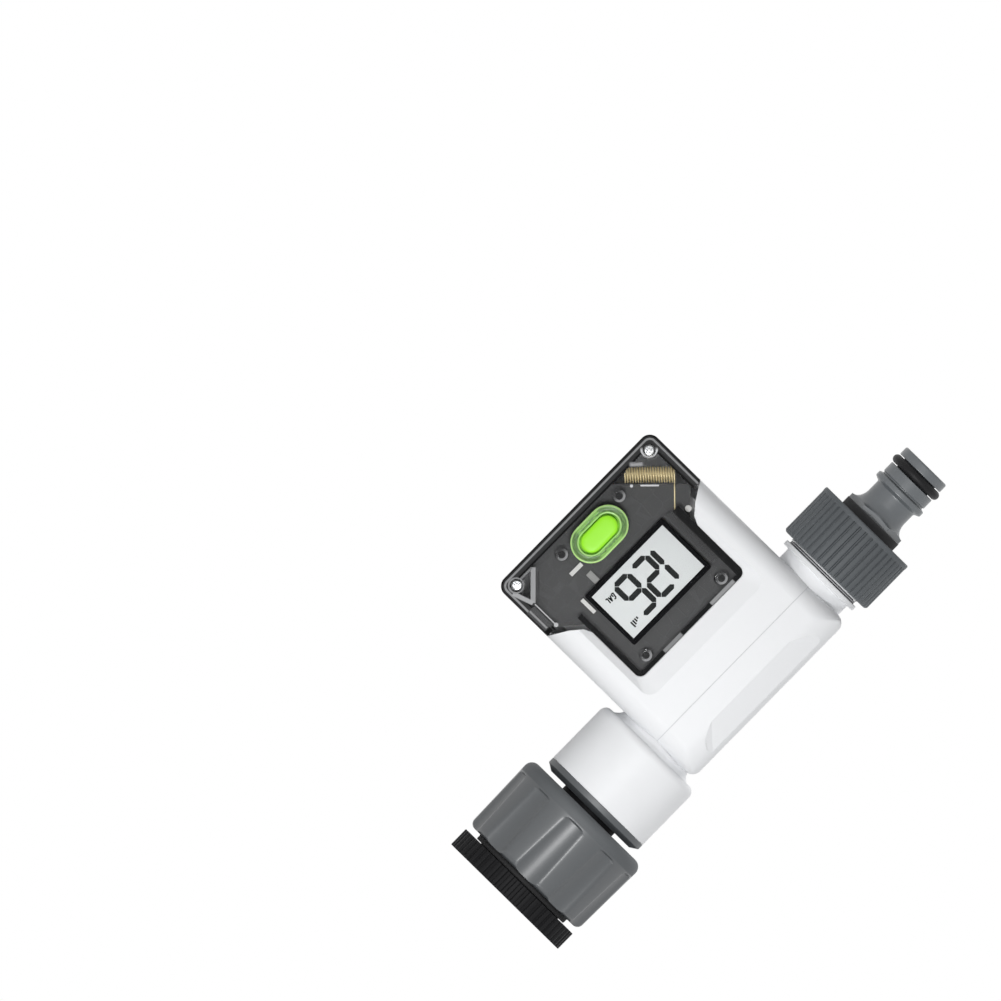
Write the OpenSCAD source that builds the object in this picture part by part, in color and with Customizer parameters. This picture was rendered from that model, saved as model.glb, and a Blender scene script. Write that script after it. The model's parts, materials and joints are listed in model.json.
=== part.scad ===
// Hose flow meter with a display, a swivel nut for the tap and a push-on hose nipple.
// The flow axis is X. Water enters at the origin and leaves at the far end, towards -X.
// The pipe side is up (+Z) and the display faces -Y.

/* [Tap adapter] */
// Length of the ribbed flange that meets the tap
adapter_flange_l = 6.3; // [5:0.1:8]
// Radius over the ribs of the flange
adapter_r = 22; // [20.5:0.1:24]
// Ribs round the flange
adapter_ribs = 52; // [36:1:60]
// Depth of the ribs on the flange
adapter_rib_depth = 0.8; // [0.4:0.1:1.2]
// Radius at the crests of the tap thread
tap_thread_r = 12.06; // [11.8:0.01:12.4]
// Length of the tap thread
tap_thread_l = 9; // [7.5:0.1:10]
// Radius of the adapter's outer thread
adapter_thread_r = 15.82; // [15.4:0.01:16.4]
// Radius of the water way through the adapter
adapter_bore_r = 9; // [7:0.1:9.5]
// Radius of the washer under the tap
tap_washer_r = 12.7; // [12.5:0.1:13]
// Thickness of the washer under the tap
tap_washer_t = 2.4; // [1.5:0.1:3]
// Thickness of the filter's rim
filter_t = 1; // [0.6:0.1:1.4]
// Pitch of the holes in the filter
filter_pitch = 2.6; // [2.4:0.1:4]

/* [Inlet nut] */
// Length of the nut with its collar
nut_l = 28.2; // [26:0.1:32]
// Radius over the lands between the grip flutes
nut_r = 22.8; // [21.5:0.1:25]
// Length of the plain collar at the tap side
nut_collar_l = 1.6; // [1:0.1:3]
// Radius of the plain collar
nut_collar_r = 17.8; // [17.2:0.1:20]
// Grip flutes round the nut
nut_flutes = 10; // [6:2:12]
// Depth of the flutes at the tap side
nut_flute_depth = 1.9; // [0.8:0.1:2.4]
// Radius of the flutes' section
nut_flute_r = 8; // [5:0.1:10]
// Length of the smooth band behind the flutes
nut_band_l = 4.6; // [3.4:0.1:7]
// Rounding of the nut's outer edges
nut_edge_r = 3; // [1:0.1:3.2]
// Thickness of the nut's rear wall
nut_wall_l = 6.9; // [5:0.1:8.5]

/* [Inlet tailpiece and cap] */
// Radius of the neck that the nut turns on
neck_r = 10.1; // [9.4:0.1:11.5]
// Radius of the water way through the neck
neck_bore_r = 7.5; // [6:0.1:7.6]
// Radius of the flange inside the nut
tail_flange_r = 15.2; // [14:0.1:15.3]
// Thickness of the flange inside the nut
tail_flange_t = 3.3; // [2:0.1:4]
// Thickness of the washer inside the nut
nut_washer_t = 3; // [2:0.1:4]
// Neck left bare between the nut and the cap
neck_gap = 1.3; // [0.8:0.1:3]
// Length of the cap's ring
cap_l = 3.3; // [2.6:0.1:6]
// Length of the chamfer on the cap's ring
cap_chamfer_l = 1.5; // [0.5:0.1:2]
// Width of the chamfer on the cap's ring
cap_chamfer_w = 2.4; // [0.5:0.1:3]
// Thickness of the cap's wall round the neck
cap_web = 2; // [1.5:0.1:3]
// Wall of the cap's spigot
cap_spigot_wall = 2.9; // [2.2:0.1:3.5]
// Thickness of the ring that keeps the neck in the cap
clip_t = 1.2; // [0.8:0.1:1.6]

/* [Flow tube] */
// Radius of the inlet barrel
barrel_r = 18.4; // [17.8:0.1:20]
// Length of the inlet barrel
barrel_l = 22; // [20:0.1:28]
// Rounding of the barrel's rear edge
barrel_edge_r = 2.4; // [1:0.1:2.8]
// Bore of the barrel
barrel_bore_r = 15.5; // [15:0.1:15.8]
// Depth of the barrel's bore
barrel_bore_l = 17.2; // [16:0.1:18]
// Length of the flare between the barrel and the housing
flare_l = 2.1; // [1.5:0.1:4]
// Radius of the flare at the barrel
flare_r = 14.9; // [13.5:0.1:15.5]
// Radius of the tube at the inlet end of the housing
inlet_neck_r = 12.9; // [12.5:0.1:13.3]
// Outer radius of the tube inside the housing
tube_r = 11.2; // [10.6:0.1:12]
// Radius of the rotor's bore
rotor_bore_r = 9; // [8.4:0.1:9.2]
// Radius of the bore behind the rotor
outlet_bore_r = 7.8; // [6.5:0.1:8]
// Radius of the collars that hold the tube in the housing
collar_r = 14.1; // [13.8:0.1:14.3]
// Thickness of the collars
collar_t = 2; // [1.5:0.1:3]
// Radius of the outlet neck
outlet_neck_r = 12.1; // [11:0.1:12.8]
// Length of the outlet neck
outlet_neck_l = 3.7; // [2.5:0.1:6]
// Radius of the ring in front of the outlet thread
outlet_ring_r = 14.1; // [13.6:0.1:15]
// Thickness of the ring in front of the outlet thread
outlet_ring_l = 1.6; // [1:0.1:3]
// Radius at the crests of the outlet thread
outlet_thread_r = 13.22; // [12.9:0.01:13.6]
// Thickness of the rubber ring at the foot of the outlet thread
thread_ring_t = 0.9; // [0.6:0.1:1.1]
// Outer radius of the rubber ring
thread_ring_r = 12.95; // [12.9:0.05:13.1]

/* [Turbine] */
// Radius of the rotor over its blades
rotor_r = 8.4; // [7.4:0.1:8.7]
// Length of the rotor
rotor_l = 13; // [9:0.1:15]
// Blades on the rotor
rotor_blades = 5; // [3:1:7]
// Radius of the rotor's hub
rotor_hub_r = 3.6; // [3.3:0.1:4.5]
// Slant of the blades
blade_angle = 28; // [15:1:40]
// Thickness of the blades and vanes
vane_t = 1; // [0.7:0.1:1.4]
// Radius of the rotor's shaft
shaft_r = 0.75; // [0.6:0.05:1]
// Outer radius of the shaft's bushes
bush_r = 1.7; // [1.4:0.05:2]
// Length of the shaft's bushes
bush_l = 3; // [2:0.1:4]
// Outer radius of the rotor's magnet
magnet_r = 2.9; // [2.4:0.1:3]
// Length of the rotor's magnet
magnet_l = 4; // [2:0.1:6]
// Thickness of the straightener's flange
straightener_flange_t = 2.5; // [1.5:0.1:3]
// Length of the straightener's vanes
vane_l = 15.5; // [10:0.1:17]
// Vanes in the straightener
vanes = 6; // [4:1:8]
// Length of the rear bearing holder
rear_holder_l = 5; // [4:0.1:7]

/* [Outlet] */
// Radius of the outlet nut over its ribs
outlet_nut_r = 16.8; // [16:0.1:19]
// Length of the outlet nut
outlet_nut_l = 17.9; // [16:0.1:22]
// Ribs round the outlet nut
outlet_nut_ribs = 44; // [30:1:54]
// Depth of the ribs on the outlet nut
outlet_rib_depth = 0.75; // [0.3:0.05:1]
// Length of the plain band on the outlet nut
outlet_band_l = 1.5; // [0.8:0.1:3]
// Thickness of the outlet nut's end wall
outlet_wall_l = 4; // [2.5:0.1:5]
// Thread left bare between the ring and the outlet nut
outlet_nut_gap = 1.4; // [0.8:0.1:3]
// Thickness of the washer in the outlet nut
outlet_washer_t = 2.5; // [1.5:0.1:3]
// Radius of the nipple's flange
nipple_flange_r = 12.7; // [12:0.1:12.9]
// Thickness of the nipple's flange
nipple_flange_t = 2.6; // [1.6:0.1:3]
// Radius of the nipple where the nut turns on it
nipple_collar_r = 10.25; // [10.25:0.05:11]
// Width of the nipple's hexagon across its flats
hex_af = 17.5; // [16.4:0.1:17.7]
// Length of the nipple's collar that stands out of the nut
collar_out_l = 2.6; // [1.5:0.1:3]
// Length of the collar and the hexagon behind the nut
hex_l = 4.1; // [3.8:0.1:6]
// Water bore of the nipple
nipple_bore_r = 4.9; // [4:0.1:5]
// Radius of the nipple's waist
waist_r = 7.2; // [6.8:0.1:7.5]
// Length of the curve from the hexagon to the waist
waist_curve_l = 4; // [3:0.1:5]
// Length of the waist
waist_l = 3.8; // [3:0.1:6]
// Radius of the catch ridge
ridge_r = 8.9; // [8.4:0.05:9.2]
// Length of the catch ridge's flat top
ridge_l = 0.9; // [0.6:0.1:1.5]
// Length of each slope of the catch ridge
ridge_slope_l = 0.85; // [0.5:0.05:1.5]
// Radius of the nipple's barrel
nipple_r = 8; // [7.8:0.05:8.2]
// Length of the nipple's barrel
nipple_barrel_l = 4.2; // [3:0.1:6]
// Width of the O-ring groove
groove_w = 3.3; // [3:0.1:3.6]
// Radius of the O-ring's section
o_ring_section_r = 1.4; // [1.2:0.05:1.45]
// Outer radius of the O-ring
o_ring_r = 9; // [8.7:0.05:9.2]
// Radius of the nipple's tip
tip_r = 8.1; // [7.8:0.05:8.2]
// Length of the nipple's tip
tip_l = 2.9; // [2:0.1:4]

/* [Housing] */
// Drop of the housing below the flow axis
housing_drop = 65.6; // [65:0.1:70]
// Rise of the pipe cover above the flow axis
cover_rise = 15.3; // [15:0.1:18]
// Half of the housing's depth
half_depth = 16.5; // [16.5:0.1:18]
// Wall of the housing
wall = 2; // [1.6:0.1:2.2]
// Thickness of the housing's front wall over the window
front_wall = 1.8; // [1.4:0.1:2]
// Rounding of the housing's front edges
front_edge_r = 6; // [4:0.1:7]
// Rounding of the housing's rear edges
rear_edge_r = 4; // [3:0.1:4.4]
// Rounding of the housing's corners seen from the front
corner_r = 3.3; // [2.6:0.1:4]
// Rounding of the pipe cover's long edges
cover_edge_r = 8; // [6:0.1:9]
// Width of the snap hooks under the pipe cover
hook_w = 6; // [4:0.1:8]
// Length of the snap hooks under the pipe cover
hook_l = 6; // [4:0.1:8]
// Thickness of the snap hooks
hook_t = 1.4; // [1:0.1:1.5]
// Distance of the snap hooks from the housing's ends
hook_inset = 12; // [10:0.5:20]
// Lower edge of the recess on the pipe cover, above the flow axis
recess_z = 7.4; // [6:0.1:9]
// Half width of the recess at its lower edge
recess_half_w = 16.2; // [12:0.1:19]
// Half width of the recess at the top of the cover
recess_top_half_w = 22.8; // [20:0.1:26]
// Lean of the recess's floor
recess_lean = 28; // [15:1:30]
// Width of the slopes at the recess's ends
recess_end_w = 1.6; // [0.5:0.1:3]

/* [Display cover] */
// Half width of the narrow part of the window
window_half_w = 22.05; // [21:0.05:22.6]
// Upper edge of the window, below the flow axis
window_top = 16.2; // [15.8:0.1:17]
// Rounding of the window's upper corners
window_corner_r = 2.2; // [1:0.1:3]
// Place below the flow axis where the window starts to widen
window_widen = 35.9; // [34:0.1:37]
// Place below the flow axis where the window reaches the sides
window_full = 44.7; // [43:0.1:46]
// Width of the slope at the window's sides
bevel_w = 2.35; // [1.5:0.05:3]
// Height of the slope above the window
bevel_top_w = 6.2; // [3:0.1:7]
// Rounding of the slope's upper corners
bevel_corner_r = 3.6; // [2:0.1:5]
// Thickness of the clear cover
cover_t = 2; // [1.6:0.1:2.4]
// Side wall of the clear cover
cover_wall = 1.8; // [1.4:0.1:2]
// Width of the cover's edge that is held under the front wall
cover_tongue = 1.2; // [0.6:0.1:1.5]
// Depth of the clear cover's side walls
cover_depth = 11; // [9:0.1:13]
// Rounding of the clear cover's front edge
cover_front_r = 1.6; // [0.8:0.1:2]
// Inset of the corner screws from the housing's side
screw_inset_x = 4.4; // [4.4:0.1:4.8]
// Inset of the corner screws from the housing's lower end
screw_inset_z = 4.1; // [4.1:0.1:4.6]
// Radius of the corner screws' bosses
boss_r = 2.5; // [2.2:0.1:2.6]
// Radius of the corner screws
cover_screw_r = 1; // [0.8:0.05:1.1]
// Radius of the corner screws' heads
cover_screw_head_r = 1.75; // [1.5:0.05:1.8]
// Thickness of the corner screws' heads
cover_screw_head_t = 1.3; // [0.9:0.1:1.5]
// Depth of the seats under the corner screws' heads
screw_seat_depth = 2.4; // [2:0.1:3.5]
// Depth that the corner screws reach into the housing
cover_screw_grip = 6; // [4:0.5:9]
// Thickness of the slanted web beside the inlet-side screw
web_t = 1.5; // [1:0.1:2]
// Length of the slanted web
web_l = 9.8; // [7:0.1:10]
// Distance of the web's middle from the screw, along the housing and up
web_off = 3.6; // [3.2:0.1:3.9]
// Height of the catch in the inlet-side wall
clip_h = 7.2; // [5:0.1:8]
// Middle of the catch below the flow axis
clip_z = 50.2; // [49.6:0.1:51]

/* [Circuit board] */
// Space between the clear cover and the board
board_gap = 2.8; // [2.6:0.1:3.4]
// Thickness of the board
board_t = 1.6; // [1:0.1:2]
// Half width of the board's narrow part
board_half_w = 20.6; // [20:0.1:21]
// Space between the board and the walls round it
board_edge_gap = 1.1; // [0.8:0.1:1.6]
// Size of the board's cut corner on the inlet side
board_chamfer = 8.4; // [8.2:0.1:10]
// Radius of the posts that hold the board
post_r = 2.1; // [1.9:0.1:2.4]
// Radius of the board's screws
board_screw_r = 0.8; // [0.6:0.05:1]
// Distance of the lower posts from the middle
post_low_x = 12; // [11.6:0.1:13]
// Place of the lower posts below the flow axis
post_low_z = 58.4; // [57.8:0.1:59]
// Distance of the upper posts from the middle
post_high_x = 15.7; // [14:0.1:16.5]
// Place of the upper posts below the flow axis
post_high_z = 20.1; // [19.8:0.1:20.4]
// Depth that the board's screws reach into the posts
board_screw_grip = 2; // [1.2:0.1:2.4]
// Radius of the board screws' heads
board_screw_head_r = 1.7; // [1.3:0.05:1.7]
// Width of the radio module's can
radio_w = 14; // [10:0.1:16]
// Height of the radio module's can
radio_h = 10; // [8:0.1:11]
// Thickness of the radio module's can
radio_t = 2.4; // [1.8:0.1:3]
// Width of the processor
chip_w = 7; // [5:0.1:8]
// Thickness of the processor
chip_t = 1.2; // [0.8:0.1:1.6]

/* [Display] */
// Width of the display's frame
bezel_w = 32.5; // [31:0.1:33]
// Height of the display's frame
bezel_h = 20.7; // [19.6:0.1:21.4]
// Width of the visible display
lcd_w = 29.7; // [27:0.1:30]
// Height of the visible display
lcd_h = 17.3; // [15:0.1:17.6]
// Middle of the display below the flow axis
lcd_z = 34.7; // [34:0.1:35.2]
// Thickness of the display's glass
lcd_t = 1.1; // [0.8:0.1:1.2]
// Thickness of the frame's lip over the glass
bezel_lip = 0.5; // [0.3:0.1:0.7]
// Width of the glass held under the frame's lip
glass_edge = 0.6; // [0.3:0.1:0.8]
// Width of the contact strips under the glass
strip_w = 1.6; // [1:0.1:2]

/* [Button] */
// Length of the key
key_w = 12.9; // [11:0.1:13.5]
// Height of the key
key_h = 6.5; // [5.5:0.1:7]
// Length of the ring round the key
ring_w = 19.4; // [18:0.1:19.6]
// Height of the ring round the key
ring_h = 12.1; // [11:0.1:12.4]
// Middle of the key below the flow axis
key_z = 54.7; // [54:0.1:54.9]
// How far the key stands proud of the cover
key_proud = 1.2; // [0.9:0.1:2]
// How far the ring stands proud of the cover
ring_proud = 0.6; // [0.2:0.1:0.8]
// Travel of the key
key_travel = 0.6; // [0.3:0.05:0.8]
// Width of the ring's lip over the cover
ring_lip = 1.2; // [0.8:0.1:1.6]
// Thickness of the flange behind the key
key_foot_t = 0.6; // [0.4:0.1:0.8]
// Width of the flange behind the key
key_foot_w = 1; // [0.6:0.1:1.4]
// Radius of the switch's plunger
plunger_r = 1.5; // [1:0.1:1.8]
// Width of the switch under the key
switch_w = 6; // [4:0.1:6.4]

/* [Antenna] */
// Outer diameter of the antenna coil
antenna_d = 4.8; // [4.4:0.1:5]
// Diameter of the antenna wire
antenna_wire_d = 0.36; // [0.3:0.02:0.4]
// Length of the antenna coil
antenna_l = 14.6; // [14:0.1:15.2]
// Loops in the antenna coil
antenna_loops = 18; // [8:1:18]
// Distance of the coil's middle from the end of the housing
antenna_inset = 9.4; // [9:0.1:10]
// Place of the coil's middle below the flow axis
antenna_z = 56.4; // [55.8:0.1:57]

/* [Flow sensor] */
// Width of the magnetic sensor
sensor_w = 4; // [3.4:0.1:5]
// Thickness of the magnetic sensor
sensor_t = 1.5; // [1:0.1:2]
// Diameter of the sensor's leads
lead_d = 0.8; // [0.5:0.1:1]

/* [Battery bay] */
// Radius of a cell
cell_r = 5.25; // [5.1:0.05:5.4]
// Length of a cell with its contact nub
cell_l = 44.5; // [43.5:0.1:45]
// Pitch of the two cells
cell_pitch = 11; // [11:0.1:11.6]
// Middle of the cells below the flow axis
bay_z = 36; // [35.5:0.1:36.5]
// Room for the spring at the flat end of each cell
spring_room = 5.2; // [4.8:0.1:5.6]
// Space between the bay and the housing's end walls
bay_side_gap = 3.3; // [3.3:0.1:5]
// Floor of the bay behind the flow axis
bay_floor = 1; // [0:0.1:2]
// Wall of the bay
bay_wall = 1.6; // [1.2:0.1:2]
// Width of the door's edge beyond the ends of the bay
door_edge_w = 2.3; // [2.2:0.1:2.5]
// Half height of the battery door
door_half_h = 18; // [17.6:0.1:18.6]
// Thickness of the battery door
door_t = 2.1; // [1.8:0.1:2.4]
// Rounding of the door's corners
door_corner_r = 3; // [2:0.1:4]
// Thickness of the seat under the door
door_seat_t = 1.8; // [1.4:0.1:2.4]
// Width of the door's seal
seal_w = 1.4; // [1:0.1:1.6]
// Height of the door's seal
seal_t = 1; // [0.8:0.1:1.2]
// Distance of the door's screws from the middle
door_screw_x = 20; // [16:0.1:22]
// Distance of the door's screws from the middle of the bay
door_screw_z = 15.4; // [15.2:0.1:15.6]
// Radius of the door's screws
door_screw_r = 1.1; // [0.9:0.05:1.2]
// Length of the door's screws below their heads
door_screw_l = 9.3; // [7:0.1:10]
// Distance of the door's ribs from the middle
door_rib_x = 12; // [8:0.5:14]
// Radius of the door screws' heads
door_screw_head_r = 1.9; // [1.6:0.05:2]
// Wire diameter of the battery springs
spring_wire_d = 0.5; // [0.4:0.05:0.55]
// Outer radius of the battery springs at the bay's wall
spring_base_r = 3.6; // [3:0.1:4]
// Outer radius of the battery springs at the cell
spring_tip_r = 2.5; // [2:0.1:3]
// Curls in each battery spring
spring_curls = 4; // [2:1:4]
// Thickness of the contact plates
contact_t = 0.4; // [0.3:0.05:0.5]

/* [Fits] */
// Radial clearance of what turns in or on something
run_fit = 0.08; // [0.05:0.01:0.1]
// Gap between faces that are pressed or seated together
seat_gap = 0.2; // [0.1:0.05:0.3]
// Gap along the joints of the housing
joint_gap = 0.15; // [0.1:0.05:0.2]
// Clearance round what moves in a window or slot
slide_gap = 0.3; // [0.25:0.05:0.4]

/* [Hidden] */

$fn = 64;

// Colours
white = [0.93, 0.94, 0.95];
grey = [0.36, 0.38, 0.4];
black = [0.1, 0.1, 0.11];
rubber_black = [0.06, 0.06, 0.06];
clear = [0.8, 0.85, 0.88, 0.35];
board_grey = [0.3, 0.3, 0.31];
steel = [0.75, 0.76, 0.78];
gold = [0.76, 0.66, 0.38];

// Places along the flow axis, from the tap towards the hose
flange_x = -adapter_flange_l;
nut_front_x = flange_x - seat_gap;
nut_rear_x = nut_front_x - nut_l;
nut_seat_x = nut_rear_x + nut_wall_l;
tail_rear_x = nut_seat_x + seat_gap;
tail_front_x = tail_rear_x + tail_flange_t;
spigot_end_x = tail_front_x + nut_washer_t + seat_gap;
nut_bore_r = adapter_thread_r + run_fit;
washer_pocket_r = tap_washer_r + slide_gap;
washer_front_x = -tap_thread_l - seat_gap;
filter_front_x = washer_front_x - tap_washer_t;
pocket_end_x = filter_front_x - filter_t;
cap_front_x = nut_rear_x - neck_gap;
barrel_front_x = cap_front_x - cap_l;
cap_web_x = cap_front_x - cap_l - cap_web;
barrel_seat_x = barrel_front_x - barrel_bore_l;
barrel_rear_x = barrel_front_x - barrel_l;
cap_spigot_r = barrel_bore_r - run_fit;
cap_inner_r = cap_spigot_r - cap_spigot_wall;
clip_x = cap_web_x - seat_gap;
clip_outer_r = cap_inner_r - slide_gap;
tail_end_x = clip_x - clip_t - 1.5;
clip_inner_r = neck_r - 1.2;
tail_ring_section = 0.75;
tail_ring_x = cap_front_x - cap_l / 2 - cap_web / 2;
cap_ring_section = 0.9;
straightener_front_x = barrel_seat_x + straightener_flange_t;
cap_end_x = straightener_front_x + seat_gap;
cap_ring_x = (barrel_front_x + cap_end_x) / 2;
bay_half_l = contact_t + (cell_l + spring_room + 0.1) / 2;
door_half_w = bay_half_l + door_edge_w;
half_l = bay_half_l + bay_wall + bay_side_gap + wall;
housing_l = 2 * half_l;
housing_front_x = barrel_rear_x - flare_l - 0.1;
housing_rear_x = housing_front_x - housing_l;
mid_x = housing_front_x - half_l;
vane_end_x = barrel_seat_x - vane_l;
rotor_front_x = vane_end_x - 0.5;
rotor_rear_x = rotor_front_x - rotor_l;
holder_front_x = rotor_rear_x - 0.5;
holder_rear_x = holder_front_x - rear_holder_l;
front_bush_x = vane_end_x;
rear_bush_x = holder_front_x;
magnet_rear_x = rotor_front_x - magnet_l;
thread_front_x = housing_rear_x - outlet_neck_l - outlet_ring_l;
outlet_nut_front_x = thread_front_x - outlet_nut_gap;
outlet_nut_rear_x = outlet_nut_front_x - outlet_nut_l;
outlet_seat_x = outlet_nut_rear_x + outlet_wall_l;
nipple_flange_rear_x = outlet_seat_x + seat_gap;
nipple_front_x = nipple_flange_rear_x + nipple_flange_t;
outlet_washer_front_x = nipple_front_x + outlet_washer_t;
tube_end_x = outlet_washer_front_x + seat_gap;
outlet_nut_bore_r = outlet_thread_r + run_fit;

// Places across the flow axis
front_y = -half_depth;
cover_y = front_y + front_wall;
cover_back_y = cover_y + cover_t;
split_y = cover_y + cover_depth;
board_y = cover_back_y + board_gap;
board_back_y = board_y + board_t;
rear_y = half_depth;
door_y = rear_y - door_t;
seat_y = door_y - seat_gap;
cell_y = bay_floor + slide_gap + cell_r;
cell_zs = [-bay_z + cell_pitch / 2, -bay_z - cell_pitch / 2];
bay_half_h = cell_pitch / 2 + cell_r + 0.45;
cell_shift = bay_half_l - contact_t - 0.1 - cell_l / 2;
cover_screw_x = half_l - screw_inset_x;
cover_screw_z = -housing_drop + screw_inset_z;
screw_seat_y = cover_y + screw_seat_depth;
bezel_y = cover_back_y + 0.1;
glass_y = bezel_y + bezel_lip + 0.05;
glass_half_w = lcd_w / 2 + glass_edge;
glass_half_h = lcd_h / 2 + glass_edge;
key_foot_back_y = cover_back_y + slide_gap + key_foot_t;
switch_top_y = key_foot_back_y + key_travel + 0.1;
antenna_y = cover_back_y + slide_gap + antenna_d / 2;
antenna_x = half_l - antenna_inset;
antenna_tail = 10.8;
sensor_x = (rotor_front_x + magnet_rear_x) / 2 - mid_x;
door_head_y = rear_y - 1.2;
hex_end_x = outlet_nut_rear_x - hex_l;
ridge_foot_x = hex_end_x - waist_curve_l - waist_l;
barrel_x = ridge_foot_x - 2 * ridge_slope_l - ridge_l;
groove_x = barrel_x - nipple_barrel_l;
tip_x = groove_x - groove_w;
nipple_end_x = tip_x - tip_l;
groove_r = o_ring_r - 2 * o_ring_section_r - 0.05;
board_posts = [
    [post_low_x, -post_low_z], [-post_low_x, -post_low_z],
    [post_high_x, -post_high_z], [-post_high_x, -post_high_z]
];

// Places on the board, counted from the middle of the housing and from the flow axis
radio_at = [-13, -48];
chip_at = [9, -51];
lead_foot = [19.3, -18.3];
battery_lead_x = 17;
test_point = [-23.7, -41.3];
// Lamp, resistor and clip on the front of the board, as [x, z, width, height, thickness]
small_parts = [
    [12.2, -52.3, 4.7, 1.3, 0.9],
    [10.4, -47.2, 2, 3.8, 0.8],
    [17.4, -42.2, 1.2, 5.4, 1.6]
];

// A straight bar about the flow axis
module x_bar(x0, x1, r) {
    translate([x0, 0, 0])
        rotate([0, 90, 0])
            cylinder(h = x1 - x0, r = r);
}

// A ring or sleeve about the flow axis
module x_ring(x0, x1, r, inner_r) {
    difference() {
        x_bar(x0, x1, r);
        x_bar(x0 - 1, x1 + 1, inner_r);
    }
}

// A profile of [radius, x] points turned about the flow axis
module turned(points) {
    rotate([0, 90, 0])
        rotate_extrude()
            polygon(points);
}

// A rubber ring about the flow axis
module o_ring(x, ring_r, section_r) {
    rotate([0, 90, 0])
        rotate_extrude()
            translate([ring_r, x])
                circle(r = section_r, $fn = 32);
}

// A bar along the depth of the housing, at a place seen from the front
module y_bar(x, z, y0, y1, r) {
    translate([mid_x + x, y0, z])
        rotate([-90, 0, 0])
            cylinder(h = y1 - y0, r = r);
}

// A block between two corners, with x counted from the middle of the housing
module block(x0, x1, y0, y1, z0, z1) {
    translate([mid_x + x0, y0, z0])
        cube([x1 - x0, y1 - y0, z1 - z0]);
}

// A plate whose outline is drawn in the front view
module front_plate(y0, y1) {
    translate([mid_x, y1, 0])
        rotate([90, 0, 0])
            linear_extrude(height = y1 - y0)
                children();
}

// A rectangle with a radius of its own at each corner, counted round from the lowest corner
module soft_rect(x0, x1, y0, y1, radii) {
    corners = [[x0, y0], [x1, y0], [x1, y1], [x0, y1]];
    inward = [[1, 1], [-1, 1], [-1, -1], [1, -1]];
    union() {
        polygon([
            for (i = [0 : 3])
                let (c = corners[i], d = inward[i], r = radii[i])
                each (r == 0 ? [c] : i % 2 == 0
                    ? [[c[0], c[1] + d[1] * r], [c[0] + d[0] * r, c[1]]]
                    : [[c[0] + d[0] * r, c[1]], [c[0], c[1] + d[1] * r]])
        ]);
        for (i = [0 : 3])
            if (radii[i] > 0)
                translate([corners[i][0] + inward[i][0] * radii[i], corners[i][1] + inward[i][1] * radii[i]])
                    circle(r = radii[i], $fn = 48);
    }
}

// A slot with round ends
module stadium(w, h) {
    union() {
        square([w - h, h], center = true);
        for (side = [-1, 1])
            translate([side * (w - h) / 2, 0])
                circle(r = h / 2, $fn = 48);
    }
}

// A star-shaped outline for straight grip ribs
module ribbed(r, depth, ribs, land) {
    step = 360 / ribs;
    polygon([
        for (i = [0 : ribs - 1], k = [0 : 3])
            let (a = step * (i + [0, 0.14, 0.14 + land, 0.28 + land][k]), q = k % 3 == 0 ? r - depth : r)
            [q * cos(a), q * sin(a)]
    ]);
}

// A form rounded in its front view, its plan and its end view, drawn in by t on every closed side
module rounded_form(t, y0, z0, z1, low_r, high_r, front_r, low_edge_r, high_edge_r) {
    x1 = half_l - t;
    inner_z0 = low_r > 0 ? z0 + t : z0;
    inner_z1 = high_r > 0 ? z1 - t : z1;
    inner_y0 = y0 + t;
    inner_y1 = rear_y - t;
    function drawn_in(r) = r > 0 ? max(r - t, 0.4) : 0;
    intersection() {
        front_plate(inner_y0, inner_y1)
            soft_rect(-x1, x1, inner_z0, inner_z1,
                [drawn_in(low_r), drawn_in(low_r), drawn_in(high_r), drawn_in(high_r)]);
        translate([mid_x, 0, inner_z0 - 1])
            linear_extrude(height = inner_z1 - inner_z0 + 2)
                soft_rect(-x1, x1, inner_y0, inner_y1,
                    [drawn_in(front_r), drawn_in(front_r), drawn_in(rear_edge_r), drawn_in(rear_edge_r)]);
        translate([mid_x - half_l - 1, 0, 0])
            rotate([90, 0, 90])
                linear_extrude(height = housing_l + 2)
                    soft_rect(inner_y0, inner_y1, inner_z0, inner_z1,
                        [for (r = [low_edge_r, low_edge_r, high_edge_r, high_edge_r]) drawn_in(r)]);
    }
}

// The lower housing's form, open where the pipe cover meets it
module housing_form(t) {
    rounded_form(t, front_y, -housing_drop, 0, corner_r, 0, front_edge_r, rear_edge_r, 0);
}

// The pipe cover's form
module cover_form(t) {
    rounded_form(t, front_y, 0, cover_rise, 0, corner_r, front_edge_r, 0, cover_edge_r);
}

// The clear cover's form, whose front lies behind the housing's front
module window_form(t) {
    rounded_form(t, cover_y, -housing_drop, 0, corner_r, 0, cover_front_r, cover_front_r, 0);
}

// The window's outline, grown outwards by g
module window_outline(g) {
    w = window_half_w + g;
    up = -window_top + g;
    widen = -window_widen + g * 0.6;
    full = -window_full + g;
    low = -housing_drop - 2;
    side = half_l + 2;
    right = [
        [w, widen], [w + 1.25, widen - 2.6], [w + 4.45, widen - 5.3],
        [half_l, full], [side, full - 0.5], [side, low]
    ];
    r = window_corner_r;
    union() {
        polygon(concat(
            [[w - r, up], [w, up - r]],
            right,
            [for (i = [5 : -1 : 0]) [-right[i][0], right[i][1]]],
            [[-w, up - r], [-w + r, up]]
        ));
        for (s = [-1, 1])
            translate([s * (w - r), up - r])
                circle(r = r, $fn = 48);
    }
}

// The part of the window below where it starts to widen
module flared_outline(g) {
    intersection() {
        window_outline(g);
        translate([-half_l - 3, -housing_drop - 3])
            square([housing_l + 6, housing_drop + 3 - window_widen + g]);
    }
}

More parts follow.
